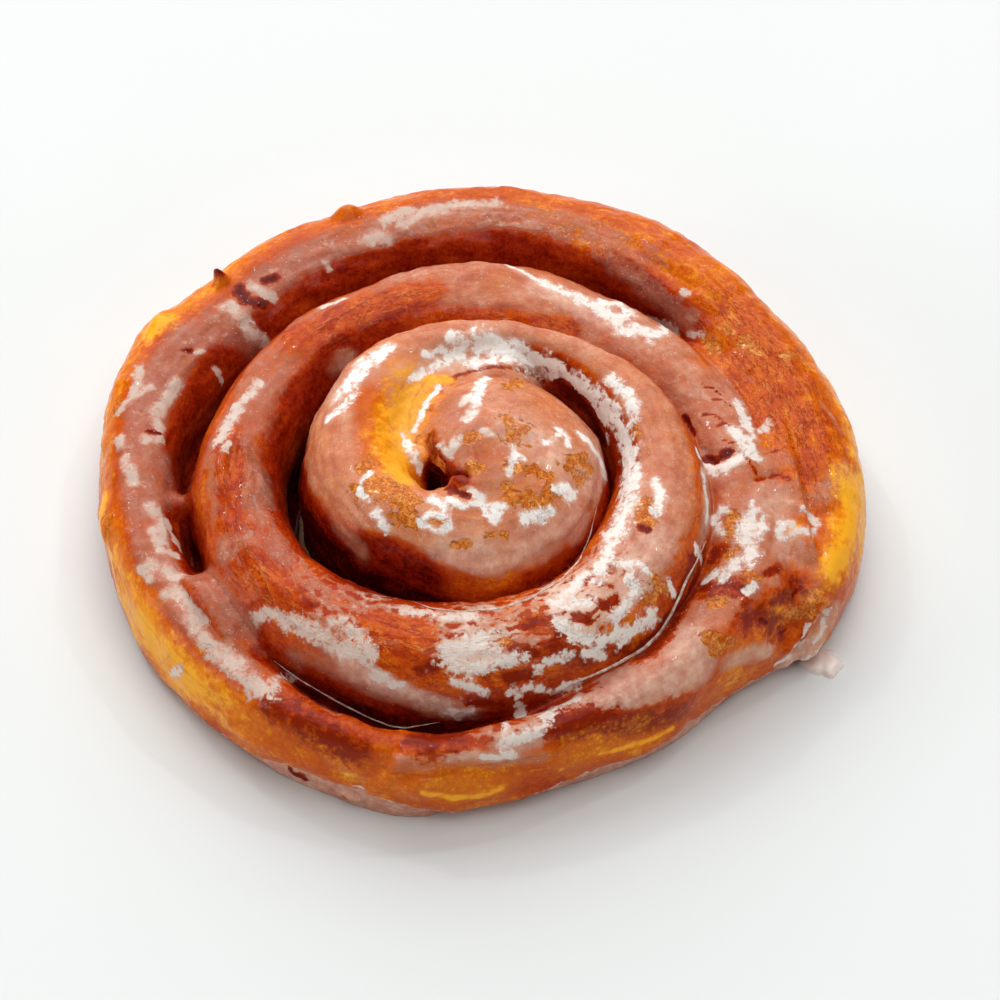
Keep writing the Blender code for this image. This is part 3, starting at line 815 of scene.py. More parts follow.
def near_path(points, spots, reach):
    """Which points lie within reach of a path, and how far from it."""
    low, high = spots.min(0) - reach, spots.max(0) + reach
    near = np.nonzero(((points > low) & (points < high)).all(1))[0]
    return near, path_distance(points[near], spots)


def painted(points, picture, strokes, share=1.0):
    """How much each point belongs to a set of paths: 1 in the middle, 0.5 at the edge, 0 outside."""
    total = np.zeros(len(points), np.float32)
    for radius, *numbers in strokes:
        spots = picture.path(in_pairs(numbers))
        if not len(spots):
            continue
        reach = PAINT_SPREAD * share * radius + PAINT_MARGIN
        near, away = near_path(points, spots, reach)
        total[near] = np.maximum(total[near], 1 - smooth(0, reach, away))
    return total


# Relief
LENGTHS = np.cumsum(2 * np.pi * (edge(TURNS) + edge(TURNS - 1)) / 2) * (TURNS[1] - TURNS[0])


def flow_places(points, lap=None):
    """Coordinates that run along the dough, across it and up, for noise that follows the coil.

    On the right, where the windings are pressed into one, a piece's points all count as its own lap.
    """
    turn, _, _ = dough_at(points)
    r, part = polar(points[:, 0], points[:, 1])
    if lap is not None:
        turn = np.where(np.abs(part - 0.5) < 0.2, part + lap, turn)
    return np.stack([np.interp(turn, TURNS, LENGTHS), r, points[:, 2]], 1).astype(np.float32)


def ledge_height(points):
    """Height of the ledge between the rim and its foot."""
    _, part = polar(points[:, 0], points[:, 1])
    parts, heights, _ = zip(*LEDGE)
    return np.interp(part, parts, heights) * (1 + 0.2 * noise(points, (9.0, 9.0, 1e3), 9))


def set_back(points):
    """How far each point of the foot moves inwards, under the rim."""
    r, part = polar(points[:, 0], points[:, 1])
    parts, _, depths = zip(*LEDGE)
    below = smooth(0.4, -0.4, points[:, 2] - ledge_height(points))
    share = smooth(-0.2, 1.0, outline_at(points)) * below
    inwards = np.stack([COIL_X - points[:, 0], COIL_Y - points[:, 1], 0 * r], 1)
    return inwards / np.maximum(r, 1)[:, None] * (np.interp(part, parts, depths) * share)[:, None]


def relief(points, picture):
    """How far each point is moved outwards, in millimetres."""
    total = sum(height * octaves(points, size, seed, count) for height, size, seed, count in LUMPS)
    flow = flow_places(points)
    ridges = 1 - 2 * np.abs(noise(flow, (9.0, 2.6, 2.6), 5))
    r, part = polar(points[:, 0], points[:, 1])
    calm = smooth(0.5, 3.5, np.abs(r - edge(part + 2)))
    total = total + 0.14 * ridges * calm
    total = total + 0.10 * noise(flow, (1.6, 6.0, 6.0), 6) * calm
    for height, radius, *numbers in RELIEF:
        spots = picture.path(in_pairs(numbers))
        if not len(spots):
            continue
        near, away = near_path(points, spots, 2 * radius)
        total[near] += height * (1 - smooth(0, 2 * radius, away))
    return total


def shaped(points, slope, picture):
    """The surface with its relief, still flat below."""
    fade = smooth(0.0, 1.5, points[:, 2])
    moved = points + slope * (relief(points, picture) * fade)[:, None] + set_back(points)
    moved[:, 2] = np.where(points[:, 2] < LIFT, points[:, 2], np.maximum(moved[:, 2], LIFT))
    return moved


# Paint
class Site:
    """Where each point lies, as the paint needs to know it.

    part and turn say where along the dough, across says where across it, and depth how far below
    the crest. out is how far outside the outermost crest; rim, base and ledge are the outer side,
    its foot and the line between them. bun is the knob and the dough next to it, steep how much
    the surface faces up, lowest the steepness where the glaze of the bun ends, upper all but the
    deep creases, hole the inside of the holes, and slow is noise.
    """

    def __init__(self, points, slope):
        self.turn, self.across, self.depth = dough_at(points)
        _, self.part = polar(points[:, 0], points[:, 1])
        behind = smooth(0.0, 0.9, np.sin(2 * np.pi * self.part))
        self.out = outline_at(points) + 0.36 * behind
        self.rim = smooth(0.30, 0.90, self.out)
        self.height = points[:, 2]
        self.slow = octaves(points, 9.0, 21, 3)
        self.bun = smooth(1.36, 1.24, self.turn)
        self.steep = slope[:, 2] + 0.05 * self.slow
        self.lowest = 0.26 + 0.24 * np.cos(2 * np.pi * (self.turn - FILM_FRONT))
        above_foot = self.height - ledge_height(points)
        self.base = smooth(0.35, -0.35, above_foot) * smooth(-0.2, 0.5, self.out)
        self.ledge = smooth(0.7, 0.1, np.abs(above_foot - 0.35)) * smooth(0.3, 0.7, self.out)
        self.upper = smooth(15, 11, self.depth)
        holes = hole_field(points[:, 0], points[:, 1], self.height)
        self.hole = smooth(0.9, 0.2, holes) * smooth(0.3, 1.2, self.depth)


def walls(site):
    """Where the dough turns down into a crease, or below the bun's glaze: the crust there is painted darker,
    partly its own darker colour and partly shade.
    """
    side = np.where(site.across < 0, -site.across, site.across - 0.42)
    wall = smooth(0.30, 0.56, side + 0.06 * site.slow) * smooth(0.2, 1.0, site.depth)
    wall = np.maximum(wall, smooth(4.5, 8, site.depth))
    wall = toward(wall, smooth(site.lowest + 0.08, site.lowest - 0.10, site.steep), site.bun)
    joint = gap(np.where(site.across < 0, site.turn - 1, site.turn))
    return wall * (1 - site.rim) * (1 - 0.85 * smooth(0.0, -0.8, joint))


def browning(site, wall):
    """How brown the crust is, with painted shade: darker on the walls of the creases, near black deep in
    them and inside the holes.
    """
    brown = browned(site.turn) + 0.10 * site.slow
    # Painted shade, with the darker crust: the walls down into the creases and below the bun's glaze.
    brown = toward(brown, 0.74 + 0.13 * site.bun + 0.08 * site.slow, wall)
    # Painted shade: near black deep down in the creases.
    brown = toward(brown, 1.1, (1 - site.rim) * smooth(9, 16, site.depth))
    brown = toward(brown, 0.36 + 0.16 * site.slow, site.rim)
    brown = toward(brown, 0.55, site.base)
    # Painted shade inside the holes.
    return toward(brown, 0.98, site.hole)


def milky_film(site, wall, stroked, cleared):
    """How thick the milky glaze lies, with a painted sheen where the surface faces up."""
    # Painted sheen: the glaze is paler where the surface faces up.
    film = smooth(0.4, 0.8, site.steep)
    on_bun = smooth(site.lowest - 0.04, site.lowest + 0.08, site.steep)
    film = toward(film, on_bun, site.bun) * (1 - wall)
    film = film * (filmed(site.turn) + 0.25 * site.slow) * (1 - 0.95 * site.rim)
    film = np.maximum(film, site.base * (0.85 + 0.4 * site.slow))
    film = np.maximum(film, stroked)
    return film * (1 - 0.8 * cleared) * (1 - site.hole)


def yellow_dough_and_glow(site, strokes, stroked, dark):
    """Where the dough is pale yellow: the strokes, and the rim with its painted glow of light through the
    dough.
    """
    # Painted glow of light through the dough, near the outline of the rim.
    painted_glow = np.interp(site.part, *zip(*RIM_PAINTED_GLOW)) * smooth(2.8, 9, site.height)
    painted_glow = painted_glow * smooth(0.45, 1.00, site.out + 0.12 * site.slow)
    yellow = np.maximum(strokes, 0.9 * painted_glow * (1 - 0.9 * np.clip(stroked, 0, 1)))
    return yellow * (1 - np.maximum(smooth(0.2, 0.7, dark), site.hole)) * (1 - site.base)


def looks(points, slope, picture):
    """The paint of each point: three colours, whose four channels each hold a value from 0 to 1."""
    site = Site(points, slope)
    cleared, red, dark, gold, ripple, bruised, haze, yellow, white, stroked = (
        painted(points, picture, strokes, share)
        for strokes, share in (
            (CLEAR, 1.0), (RED, 1.5), (DARK, 0.8), (GOLD, 1.1), (RIPPLE, 1.0),
            (BRUISED, 1.5), (HAZE, 1.4), (YELLOW, 2.7), (WHITE, 1.0), (FILM, 1.1),
        )
    )
    wall = walls(site)
    stroked = stroked * (0.9 + 0.3 * site.slow) * site.upper
    brown = browning(site, wall)
    film = milky_film(site, wall, stroked, cleared)
    yellow = yellow_dough_and_glow(site, yellow, stroked, dark)
    white = white * (1 - 0.9 * smooth(0.3, 0.8, dark)) * (1 - site.hole) * site.upper
    white = np.maximum(white, 0.60 * site.ledge)
    bruised = toward(np.maximum(mauve(site.turn), bruised), 0.3, site.base)
    ragged = broken(site.turn) * (1 - 0.9 * np.maximum(smooth(1.5, 5.0, site.depth), site.rim))
    # Painted light: the foot under the rim, which faces down, is made paler.
    haze = np.maximum(haze, 0.8 * site.base)
    colours = {
        "looks": (brown, film, white, gold),
        "marks": (ripple, ragged, bruised, yellow),
        "tones": (red, dark, haze, np.ones_like(red)),
    }
    return {name: np.clip(np.stack(four, 1), 0, 1).astype(np.float32) for name, four in colours.items()}


# Camera, floor and lights
def add_to_scene(name, data):
    """A new object in the scene, made of some data."""
    made = bpy.data.objects.new(name, data)
    bpy.context.scene.collection.objects.link(made)
    return made


def make_camera():
    data = bpy.data.cameras.new("camera")
    camera = add_to_scene("camera", data)
    camera.location = CAMERA_EYE * MM
    camera.rotation_euler = (math.radians(90 - CAMERA_ELEVATION), 0, 0)
    data.sensor_width = SENSOR_WIDTH
    data.sensor_fit = "HORIZONTAL"
    data.lens = SENSOR_WIDTH * PIXELS_PER_MM * CAMERA_DISTANCE / PICTURE
    data.shift_x = (PICTURE / 2 - PRINCIPAL[0]) / PICTURE
    data.shift_y = (PRINCIPAL[1] - PICTURE / 2) / PICTURE
    data.clip_start = 0.01
    data.dof.use_dof = False
    bpy.context.scene.camera = camera


def make_floor():
    data = bpy.data.meshes.new("floor")
    corners = [(x * FLOOR_HALF, y * FLOOR_HALF, 0) for x, y in ((-1, -1), (1, -1), (1, 1), (-1, 1))]
    data.from_pydata(corners, [], [(0, 1, 2, 3)])
    floor = add_to_scene("floor", data)
    material = bpy.data.materials.new("pale_floor")
    material.use_nodes = True
    shader = material.node_tree.nodes["Principled BSDF"]
    shader.inputs["Base Color"].default_value = (*FLOOR_COLOUR, 1)
    shader.inputs["Roughness"].default_value = FLOOR_ROUGHNESS
    data.materials.append(material)


def make_lights():
    world = bpy.data.worlds.new("studio")
    bpy.context.scene.world = world
    world.use_nodes = True
    background = world.node_tree.nodes["Background"]
    background.inputs["Color"].default_value = (1, 1, 1, 1)
    background.inputs["Strength"].default_value = WORLD_STRENGTH
    for name, place, size, power in LIGHTS:
        data = bpy.data.lights.new(name, "AREA")
        data.size = size
        data.energy = power
        light = add_to_scene(name, data)
        light.location = place
        light.rotation_euler = (-Vector(place)).to_track_quat("-Z", "Y").to_euler()


# Materials
def plug(value, socket):
    """Links a socket to a value, or sets it to a number or a colour."""
    if isinstance(value, Value):
        socket.id_data.links.new(value.socket, socket)
    elif isinstance(value, tuple) and len(value) == 3 and socket.type == "RGBA":
        socket.default_value = (*value, 1)
    else:
        socket.default_value = value


def arithmetic(operation, a, b=0.0):
    """A value worked out from two others, of which one may be a plain number."""
    tree = (a if isinstance(a, Value) else b).socket.id_data
    node = tree.nodes.new("ShaderNodeMath")
    node.operation = operation
    plug(a, node.inputs[0])
    plug(b, node.inputs[1])
    return Value(node.outputs[0])


def mix(share, a, b):
    """A colour between two."""
    node = share.socket.id_data.nodes.new("ShaderNodeMix")
    node.data_type = "RGBA"
    plug(share, node.inputs["Factor"])
    plug(a, node.inputs["A"])
    plug(b, node.inputs["B"])
    return Value(node.outputs["Result"])


class Value:
    """A value in a material, which can be added, multiplied and so on like a number."""

    def __init__(self, socket):
        self.socket = socket

    def __add__(self, other):
        return arithmetic("ADD", self, other)

    def __sub__(self, other):
        return arithmetic("SUBTRACT", self, other)

    def __rsub__(self, other):
        return arithmetic("SUBTRACT", other, self)

    def __mul__(self, other):
        return arithmetic("MULTIPLY", self, other)

    def __truediv__(self, other):
        return arithmetic("DIVIDE", self, other)

    def __abs__(self):
        return arithmetic("ABSOLUTE", self)

    def over(self, other):
        """The larger of two values."""
        return arithmetic("MAXIMUM", self, other)

    def swing(self, reach):
        """Noise from 0 to 1, turned into -reach to reach."""
        return (self - 0.5) * (2 * reach)

    def span(self, low, high, to_low=0.0, to_high=1.0):
        """to_low where the value is low, to_high where it is high, and smooth between."""
        node = self.socket.id_data.nodes.new("ShaderNodeMapRange")
        node.interpolation_type = "SMOOTHSTEP"
        plug(self, node.inputs["Value"])
        for name, number in (("From Min", low), ("From Max", high), ("To Min", to_low), ("To Max", to_high)):
            node.inputs[name].default_value = number
        return Value(node.outputs["Result"])

    def ridge(self, width):
        """1 where noise crosses its middle, 0 further off: thin winding lines."""
        return abs(self - 0.5).span(width, 0.0)

    def ramp(self, stops):
        """A colour read from a row of (value, colour)."""
        node = self.socket.id_data.nodes.new("ShaderNodeValToRGB")
        plug(self, node.inputs["Fac"])
        marks = node.color_ramp.elements
        while len(marks) < len(stops):
            marks.new(0.5)
        for mark, (at, colour) in zip(marks, stops):
            mark.position = at
            mark.color = (*colour, 1)
        return Value(node.outputs["Color"])


class Material:
    """A material, and the noises that it is made of."""

    def __init__(self, name):
        self.made = bpy.data.materials.new(name)
        self.made.use_nodes = True
        self.nodes = self.made.node_tree.nodes
        self.shader = self.nodes["Principled BSDF"]
        self.place = Value(self.nodes.new("ShaderNodeTexCoord").outputs["Object"])

    def set(self, name, value):
        plug(value, self.shader.inputs[name])

    def texture(self, kind, place, scale, detail=None, rough=None, distort=None):
        """A texture node read at a place."""
        node = self.nodes.new(kind)
        plug(place, node.inputs["Vector"])
        node.inputs["Scale"].default_value = scale
        for name, number in (("Detail", detail), ("Roughness", rough), ("Distortion", distort)):
            if number is not None:
                node.inputs[name].default_value = number
        return node

    def noise(self, size, detail=4.0, rough=0.55, distort=0.0):
        """Noise from 0 to 1 whose largest lumps are about size millimetres across."""
        node = self.texture("ShaderNodeTexNoise", self.place, 1 / (size * MM), detail, rough, distort)
        return Value(node.outputs["Fac"])

    def specks(self, size, radius):
        """1 at the middle of scattered specks, 0 outside them."""
        node = self.texture("ShaderNodeTexVoronoi", self.place, 1 / (size * MM))
        return Value(node.outputs["Distance"]).span(radius, radius * 0.4)

    def attribute(self, name):
        node = self.nodes.new("ShaderNodeAttribute")
        node.attribute_name = name
        return node

    def dough_place(self, size):
        """The place along the coil, across it and up, in shares of a size."""
        node = self.nodes.new("ShaderNodeVectorMath")
        node.operation = "DIVIDE"
        plug(Value(self.attribute("flow").outputs["Vector"]), node.inputs[0])
        node.inputs[1].default_value = size
        return Value(node.outputs["Vector"])

    def flow(self, size, detail=3.0, rough=0.6):
        """Noise from 0 to 1 that follows the coil; size is along the dough, across it and up."""
        node = self.texture("ShaderNodeTexNoise", self.dough_place(size), 1, detail, rough)
        return Value(node.outputs["Fac"])

    def windows(self, size, warp):
        """Distance from the walls of a network of cells that are drawn out along the coil.

        warp says how far noise shakes them, in shares of the size.
        """
        shake = self.texture("ShaderNodeTexNoise", self.place, 1 / (WINDOW_SHAKE * MM), 3)
        shift = self.nodes.new("ShaderNodeVectorMath")
        shift.operation = "MULTIPLY_ADD"
        plug(Value(shake.outputs["Color"]), shift.inputs[0])
        shift.inputs[1].default_value = (warp, warp, warp)
        plug(self.dough_place(size), shift.inputs[2])
        node = self.texture("ShaderNodeTexVoronoi", Value(shift.outputs["Vector"]), 1)
        node.feature = "DISTANCE_TO_EDGE"
        return Value(node.outputs["Distance"])

    def painted(self, name):
        """The four values that are painted on the surface under a name."""
        node = self.attribute(name)
        parts = self.nodes.new("ShaderNodeSeparateColor")
        plug(Value(node.outputs["Color"]), parts.inputs["Color"])
        return [Value(socket) for socket in (*parts.outputs, node.outputs["Alpha"])]

    def bump(self, height, strength, distance):
        node = self.nodes.new("ShaderNodeBump")
        plug(height, node.inputs["Height"])
        node.inputs["Strength"].default_value = strength
        node.inputs["Distance"].default_value = distance * MM
        self.set("Normal", Value(node.outputs["Normal"]))


class Crust(Material):
    """Fried crust under clear, milky and dried white glaze, and bare where the glaze is gone, with painted
    shade, sheen, highlights and glow in its colours.
    """

    def __init__(self):
        super().__init__("glazed_crust")
        self.brown, self.film, self.white, self.gold = self.painted("looks")
        self.ripple, self.torn, self.dull, self.yellow = self.painted("marks")
        self.red, self.dark, self.haze, _ = self.painted("tones")
        self.cloud = self.noise(3.2, 6, 0.62)
        self.flakes = self.noise(1.7, 2, 0.45, 0.4)
        self.mottle = self.noise(1.2, 4, 0.6)
        self.fine = self.noise(0.8, 5, 0.7)
        self.grain = self.noise(0.3, 3, 0.7)
        self.along_it = self.flow((4.5, 1.5, 2.2), 5, 0.6)
        self.streaks = self.flow((9.0, 1.0, 1.5), 4, 0.6)
        self.cells = self.windows((3.6, 1.7, 2.2), 1.3)
        self.present = self.film.span(0.02, 0.30)
        self.ragged = self.torn.span(0.15, 0.6)

        colour = self.bare_patches(self.reddish_crust())
        colour = self.windows_in_glaze(self.redder_patches(colour))
        self.measure_glaze()
        colour = mix(self.milk, colour, self.glaze_colour())
        colour = self.yellow_patches(self.wet_spots_and_shade(colour))
        specks = self.specks(0.95, 0.13) * self.film.span(0.35, 0.8, 0.0, 0.6)
        self.set("Base Color", mix(specks, colour, SPECK_COLOUR))
        self.make_shine()
        self.make_relief()

    def reddish_crust(self):
        """Crust from pale yellow to dark red, with ripples and grooves along the dough."""
        brown = self.brown + self.cloud.swing(0.26) + self.streaks.swing(0.20)
        brown = brown + self.fine.swing(0.26) + self.grain.swing(0.20)
        self.lines = self.flow((6.0, 1.9, 2.5), 2, 0.5).ridge(0.022) * self.ripple
        self.grooves = self.along_it.ridge(0.025) * self.ripple.span(0.0, 1.0, 0.15, 0.9)
        colour = mix(self.lines * 0.25, brown.ramp(CRUST_STOPS), RIPPLE_COLOUR)
        return mix(self.grooves, colour, GROOVE_COLOUR)

    def bare_patches(self, colour):
        """Cracked golden crumb where the glaze has flaked off."""
        patch = self.gold + (self.flakes.swing(1.3) + self.fine.swing(0.5))
        self.bare = patch.span(0.44, 0.68, 0.0, 0.9) * self.gold.span(0.02, 0.15)
        self.lip = patch.span(0.44, 0.48) * patch.span(0.54, 0.50)
        self.cracks = self.noise(1.6, 2, 0.5, 1.0).ridge(0.03).over(self.mottle.ridge(0.02))
        crumb = self.noise(1.2, 5, 0.65, 0.8).ramp(GOLD_STOPS)
        return mix(self.bare, colour, mix(self.cracks * 0.7, crumb, CRACK_COLOUR))

    def redder_patches(self, colour):
        swing = self.cloud.swing(0.5) + self.flakes.swing(0.5) + self.mottle.swing(0.6)
        reddish = self.red + (swing * self.red.span(0.0, 0.2) + self.streaks.swing(0.2))
        self.reddened = reddish.span(0.12, 0.95)
        return mix(self.reddened * 0.92, colour, reddish.ramp(RED_STOPS))

    def windows_in_glaze(self, colour):
        window = self.cells.span(0.16, 0.24) * self.torn.span(0.35, 0.75)
        return mix(window * self.present * 0.75, colour, WINDOW_COLOUR)

    def measure_glaze(self):
        """How deep, how milky and how white the glaze is."""
        unrest = self.noise(2.6, 3, 0.5, 1.0).swing(0.55) + self.along_it.swing(0.55)
        unrest = unrest * self.torn.span(0.0, 1.0, 0.25, 0.8)
        opened = self.cells.span(0.06, 0.36) * self.torn.span(0.35, 0.75)
        depth = self.film * 0.66 + self.white * 0.25 + unrest * self.present - opened * 0.5
        depth = depth + self.fine.swing(0.22) + self.haze * 0.15
        self.glaze_depth = depth - self.reddened * 0.50 - self.bare * 0.5
        self.thin_white = self.white + (self.flakes.swing(0.75) + self.mottle.swing(0.55))
        lace = self.noise(0.9, 3, 0.6, 1.2).swing(0.8) * self.torn.span(0.1, 0.6, 0.4, 1.0)
        self.thin_white = self.thin_white + self.fine.swing(0.45) + lace * self.white.span(0.15, 0.4)
        crisp = self.thin_white.span(0.38, 0.84) * self.thin_white.span(0.55, 0.95, 0.76, 1.0)
        self.crisp = crisp * self.white.span(0.02, 0.12)
        self.milk = self.milkiness().over(self.crisp)

    def milkiness(self):
        """How much the glaze hides the crust; its edge is sharper where the glaze is ragged."""
        depth, reach = self.glaze_depth, 0.15 - self.ragged * 0.09
        low, high = MILK_EDGE - reach, reach + MILK_EDGE
        milk = ((depth - low) / (high - low)).span(0.0, 1.0) * depth.span(0.40, 0.80, 0.70, 1.0)
        thinned = self.cloud.span(0.32, 0.66, 1.0, 0.6) * self.streaks.span(0.35, 0.65, 1.0, 0.88)
        thinned = thinned * self.mottle.span(0.36, 0.62, 1.0, 0.72)
        return milk * thinned.over(self.torn * 0.9)

    def glaze_colour(self):
        """Milky glaze from tan to mauve, paler where it is deep, with dried white glaze on it, and a pale
        line at its edges that is partly thicker glaze and partly a painted highlight.
        """
        depth = self.glaze_depth
        pale = depth.span(0.46, 0.80) * self.torn.span(0.0, 1.0, 0.15, 0.9)
        # A pale line at the edge of the milky glaze: partly thicker glaze, partly a painted highlight.
        edge_line_and_highlight = depth.span(0.36, 0.40) * depth.span(0.47, 0.41) * self.ragged
        veil = self.cloud.swing(0.5) + (self.flakes.swing(0.5) + self.streaks.swing(0.3))
        clouded = (self.haze + veil).span(0.1, 1.0)
        dried = mix(self.dull * 0.85, self.fine.ramp(WHITE_STOPS), DULL_WHITE)
        glaze = mix(self.dull, self.grain.ramp(FILM_STOPS), self.cloud.ramp(MAUVE_STOPS))
        for share, layer in (
            (pale, DEEP_GLAZE),
            (clouded * 0.8, CLOUDED_GLAZE),
            (self.thin_white.span(0.25, 0.6, 0.0, 0.55), THIN_WHITE),
            (self.crisp, dried),
            (edge_line_and_highlight * 0.5, EDGE_COLOUR),
            (self.lip * 0.7, LIP_COLOUR),
        ):
            glaze = mix(share, glaze, layer)
        return glaze

    # Dark red wet crust, and painted shade in the pit and the crease beside the knob.
    def wet_spots_and_shade(self, colour):
        wet = self.dark + self.dark.span(0.0, 0.3) * self.mottle.swing(0.9)
        share = wet.span(0.10, 0.45) * self.crisp.span(0.2, 0.9, 1.0, 0.0)
        return mix(share * 0.985, colour, wet.ramp(DARK_STOPS))

    # Pale yellow dough, with a painted glow on the rims.
    def yellow_patches(self, colour):
        lit = self.yellow + (self.cloud.swing(0.6) + self.streaks.swing(0.4))
        lit = lit + (self.mottle.swing(0.4) + self.fine.swing(0.3))
        share = lit.span(0.12, 1.00) * self.crisp.span(0.1, 0.8, 1.0, 0.1) * self.yellow.span(0.0, 0.2)
        share = share * self.bare.span(0.1, 0.8, 1.0, 0.2)
        return mix(share * 0.84, colour, lit.ramp(YELLOW_STOPS))

    def make_shine(self):
        rough = self.milk * 0.12 + 0.2 + self.crisp * 0.22 + self.bare * 0.15
        self.set("Roughness", rough + self.grain.swing(0.06))
        self.set("Specular IOR Level", 0.04)
        self.set("Coat Weight", 0.14)
        self.set("Coat Roughness", 0.08)

    def make_relief(self):
        height = self.glaze_depth.span(0.36, 0.80) * 0.9 + self.fine * 0.4 + self.lines * 0.4
        height = height - self.grooves * 0.4 + self.grain * 0.18
        height = height + self.flow((0.9, 3.5, 3.5), 3, 0.5) * 0.5
        height = height - self.bare * 0.6 - self.bare * self.cracks * 0.8
        self.bump(height, 0.75, 0.18)


def plain_glaze(name, noise_size, stops, rough):
    """Glaze that stands alone, such as a thread or a drop."""
    glaze = Material(name)
    glaze.set("Base Color", glaze.noise(noise_size, 4, 0.6).ramp(stops))
    glaze.set("Roughness", rough)
    return glaze.made


# Meshes
def point_normals(points, quads):
    """The surface's direction at each point, from all the faces round it."""
    corners = [points[quads[:, i]] for i in range(4)]
    across = np.cross(corners[2] - corners[0], corners[3] - corners[1])
    total = np.zeros_like(points)
    for i in range(4):
        for axis in range(3):
            total[:, axis] += np.bincount(quads[:, i], across[:, axis], len(points))
    return total / np.maximum(np.linalg.norm(total, axis=1, keepdims=True), 1e-9)


def make_mesh(name, points, quads, material, normals=None, layers=()):
    """A piece that rides on the roll, with only the points that its quads use."""
    used, small = np.unique(quads, return_inverse=True)
    data = bpy.data.meshes.new(name)
    data.vertices.add(len(used))
    data.vertices.foreach_set("co", (points[used] * MM).astype(np.float32).ravel())
    data.loops.add(quads.size)
    data.loops.foreach_set("vertex_index", small.astype(np.int32).ravel())
    data.polygons.add(len(quads))
    data.polygons.foreach_set("loop_start", np.arange(len(quads), dtype=np.int32) * 4)
    data.update(calc_edges=True)
    data.shade_smooth()
    for label, kind, field_name, values in layers:
        layer = data.attributes.new(label, kind, "POINT")
        layer.data.foreach_set(field_name, values[used].ravel())
    if normals is not None:
        data.normals_split_custom_set_from_vertices(normals[used].tolist())
    data.materials.append(material)
    piece = add_to_scene(name, data)
    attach(piece, "root")
    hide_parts("cinnamon_roll")


def tube(rings, sides):
    """Quads of an open tube whose points lie in rings, one ring after another."""
    ring = np.arange(sides)
    after = (ring + 1) % sides
    row = np.arange(rings - 1)[:, None] * sides
    return np.stack([row + ring, row + after, row + sides + after, row + sides + ring], -1).reshape(-1, 4)


def lid(first, sides):
    """Quads that close a ring of points."""
    end = first + sides
    return np.array([(first + i, first + i + 1, end - i - 1, end - i) for i in range(1, sides // 2 - 1)])


def piece_names(points, quads):
    """Which piece each quad goes to."""
    middle = points[quads].mean(1)
    turn, _, _ = dough_at(middle)
    _, part = polar(middle[:, 0], middle[:, 1])
    laps = np.floor(turn + 1e-6 - part + 0.5)
    names = np.full(len(quads), "coil_inner", dtype=object)
    names[laps >= 2] = "coil_middle"
    names[(laps >= 3) & (part < 0.5)] = "coil_outer_back"
    names[(laps >= 3) & (part >= 0.5)] = "coil_outer_front"
    names[middle[:, 2] < LIFT / 2] = "underside"
    return names


def thread_path(picture, pixels):
    """A smooth line of points on the roll, from a few pixels."""
    spots = []
    for (ax, ay), (bx, by) in zip(pixels, pixels[1:]):
        steps = max(int(math.hypot(bx - ax, by - ay) / 2), 1)
        spots += [(ax + (bx - ax) * i / steps, ay + (by - ay) * i / steps) for i in range(steps)]
    path = picture.path([*spots, pixels[-1]])
    for _ in range(3):
        path[1:-1] = 0.5 * path[1:-1] + 0.25 * (path[:-2] + path[2:])
    return path


def thread(picture, radius, pixels):
    """Points and quads of a thin line of glaze that lies on the roll."""
    path = thread_path(picture, pixels)
    way = np.gradient(path, axis=0)
    way /= np.linalg.norm(way, axis=1, keepdims=True)
    beside = np.cross(way, np.array(CAMERA_BACK))
    beside /= np.linalg.norm(beside, axis=1, keepdims=True)
    above = THREAD_FLATNESS * np.cross(beside, way)
    width = radius * np.sqrt(np.clip(np.sin(np.linspace(0, np.pi, len(path))), 0.02, 1))
    width = (width * (1 + 0.35 * noise(path, 1.5, 51)))[:, None]
    angles = np.arange(THREAD_SIDES) * 2 * math.pi / THREAD_SIDES
    sides = [path + width * (beside * math.cos(a) + above * math.sin(a)) for a in angles]
    points = np.stack(sides, 1).reshape(-1, 3)
    return points.astype(np.float32), tube(len(path), THREAD_SIDES)


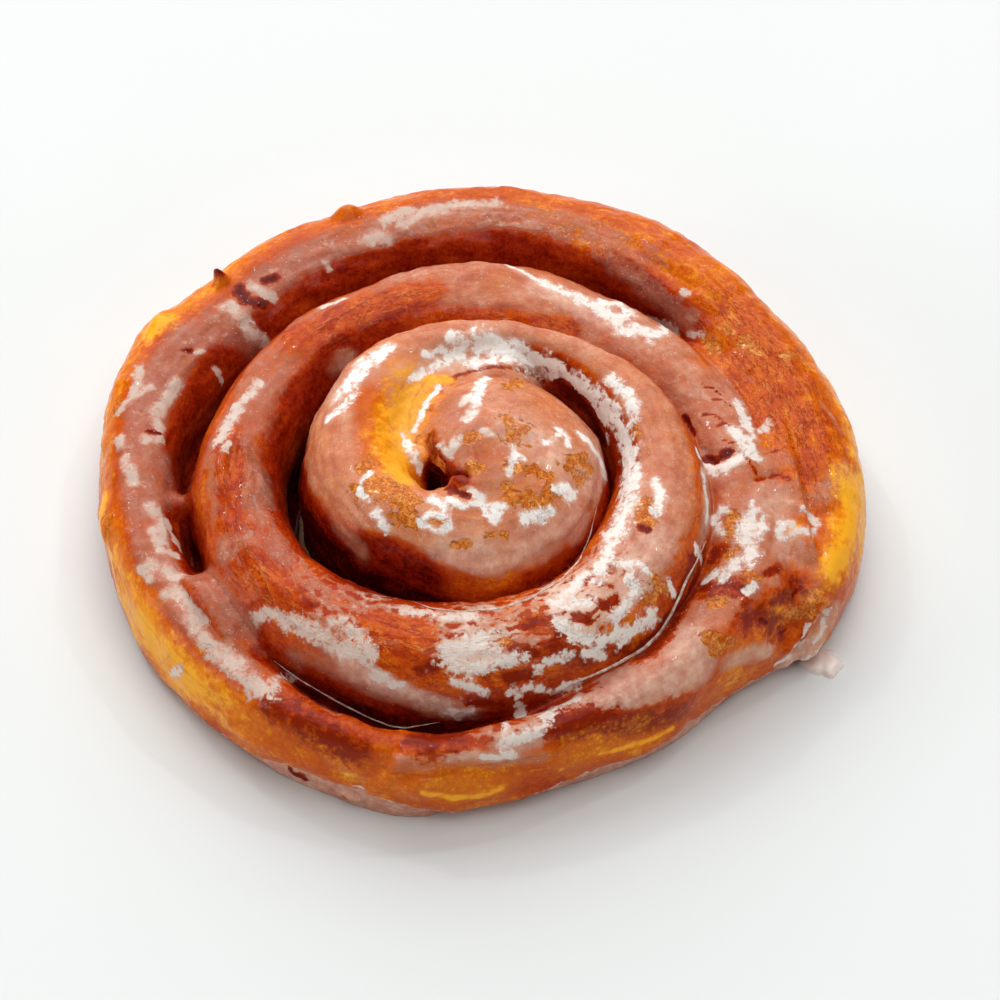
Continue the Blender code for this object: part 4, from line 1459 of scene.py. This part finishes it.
def make_threads(points, quads):
    picture = Picture(points, quads)
    all_points, all_quads, count = [], [], 0
    for radius, *numbers in THREADS:
        some, faces = thread(picture, radius, in_pairs(numbers))
        all_points.append(some)
        all_quads.append(faces + count)
        count += len(some)
    # The pale colour of the lines is partly a painted reflection.
    glaze = plain_glaze("glaze_with_painted_sheen", 1.0, THREAD_STOPS, 0.2)
    make_mesh("glaze_lines", np.concatenate(all_points), np.concatenate(all_quads), glaze)


def drip_outline():
    """The uneven oval of the drop of glaze, round its own middle."""
    angle = np.arange(DRIP_SIDES) * 2 * np.pi / DRIP_SIDES
    circle = np.stack([np.cos(angle), np.sin(angle)], 1)
    wave = noise(np.column_stack([5 * circle, 0 * angle]), 3.0, 61)
    cos, sin = math.cos(math.radians(DRIP_ANGLE)), math.sin(math.radians(DRIP_ANGLE))
    return circle * (1 + 0.30 * wave)[:, None] * DRIP_RADII @ np.array([[cos, sin], [-sin, cos]])


def make_drip():
    """A flat drop of glaze that has run off the tail onto the table."""
    outline = drip_outline()
    points = []
    for share in np.linspace(0, 1, DRIP_RINGS):
        across = 1 - 0.94 * share**1.5
        rise = DRIP_HEIGHT * math.sqrt(1 - across**4)
        points.append(np.column_stack([outline * across + DRIP_PLACE, np.full(DRIP_SIDES, rise)]))
    top = lid((DRIP_RINGS - 1) * DRIP_SIDES, DRIP_SIDES)
    quads = np.concatenate([tube(DRIP_RINGS, DRIP_SIDES), top])
    glaze = plain_glaze("run_glaze", 1.6, DRIP_STOPS, 0.25)
    make_mesh("glaze_drip", np.concatenate(points).astype(np.float32), quads, glaze)


def make_roll():
    points, quads = roll_surface()
    picture = Picture(points, quads)
    slope = field_slope(points, SLOPE_STEP)
    paint = looks(points, slope, picture)
    layers = [(name, "FLOAT_COLOR", "color", values) for name, values in paint.items()]
    flows = {
        lap: ("flow", "FLOAT_VECTOR", "vector", flow_places(points, lap))
        for lap in {None, *LAPS.values()}
    }
    points = shaped(points, slope, picture)
    normals = point_normals(points, quads)
    names = piece_names(points, quads)
    crust = Crust().made
    for name in sorted(set(names)):
        flow = flows[LAPS.get(name)]
        make_mesh(name, points, quads[names == name], crust, normals, (*layers, flow))
    make_threads(points, quads)


def main():
    bpy.context.scene.view_settings.view_transform = "Standard"
    make_roll()
    make_drip()
    make_camera()
    make_floor()
    make_lights()


main()
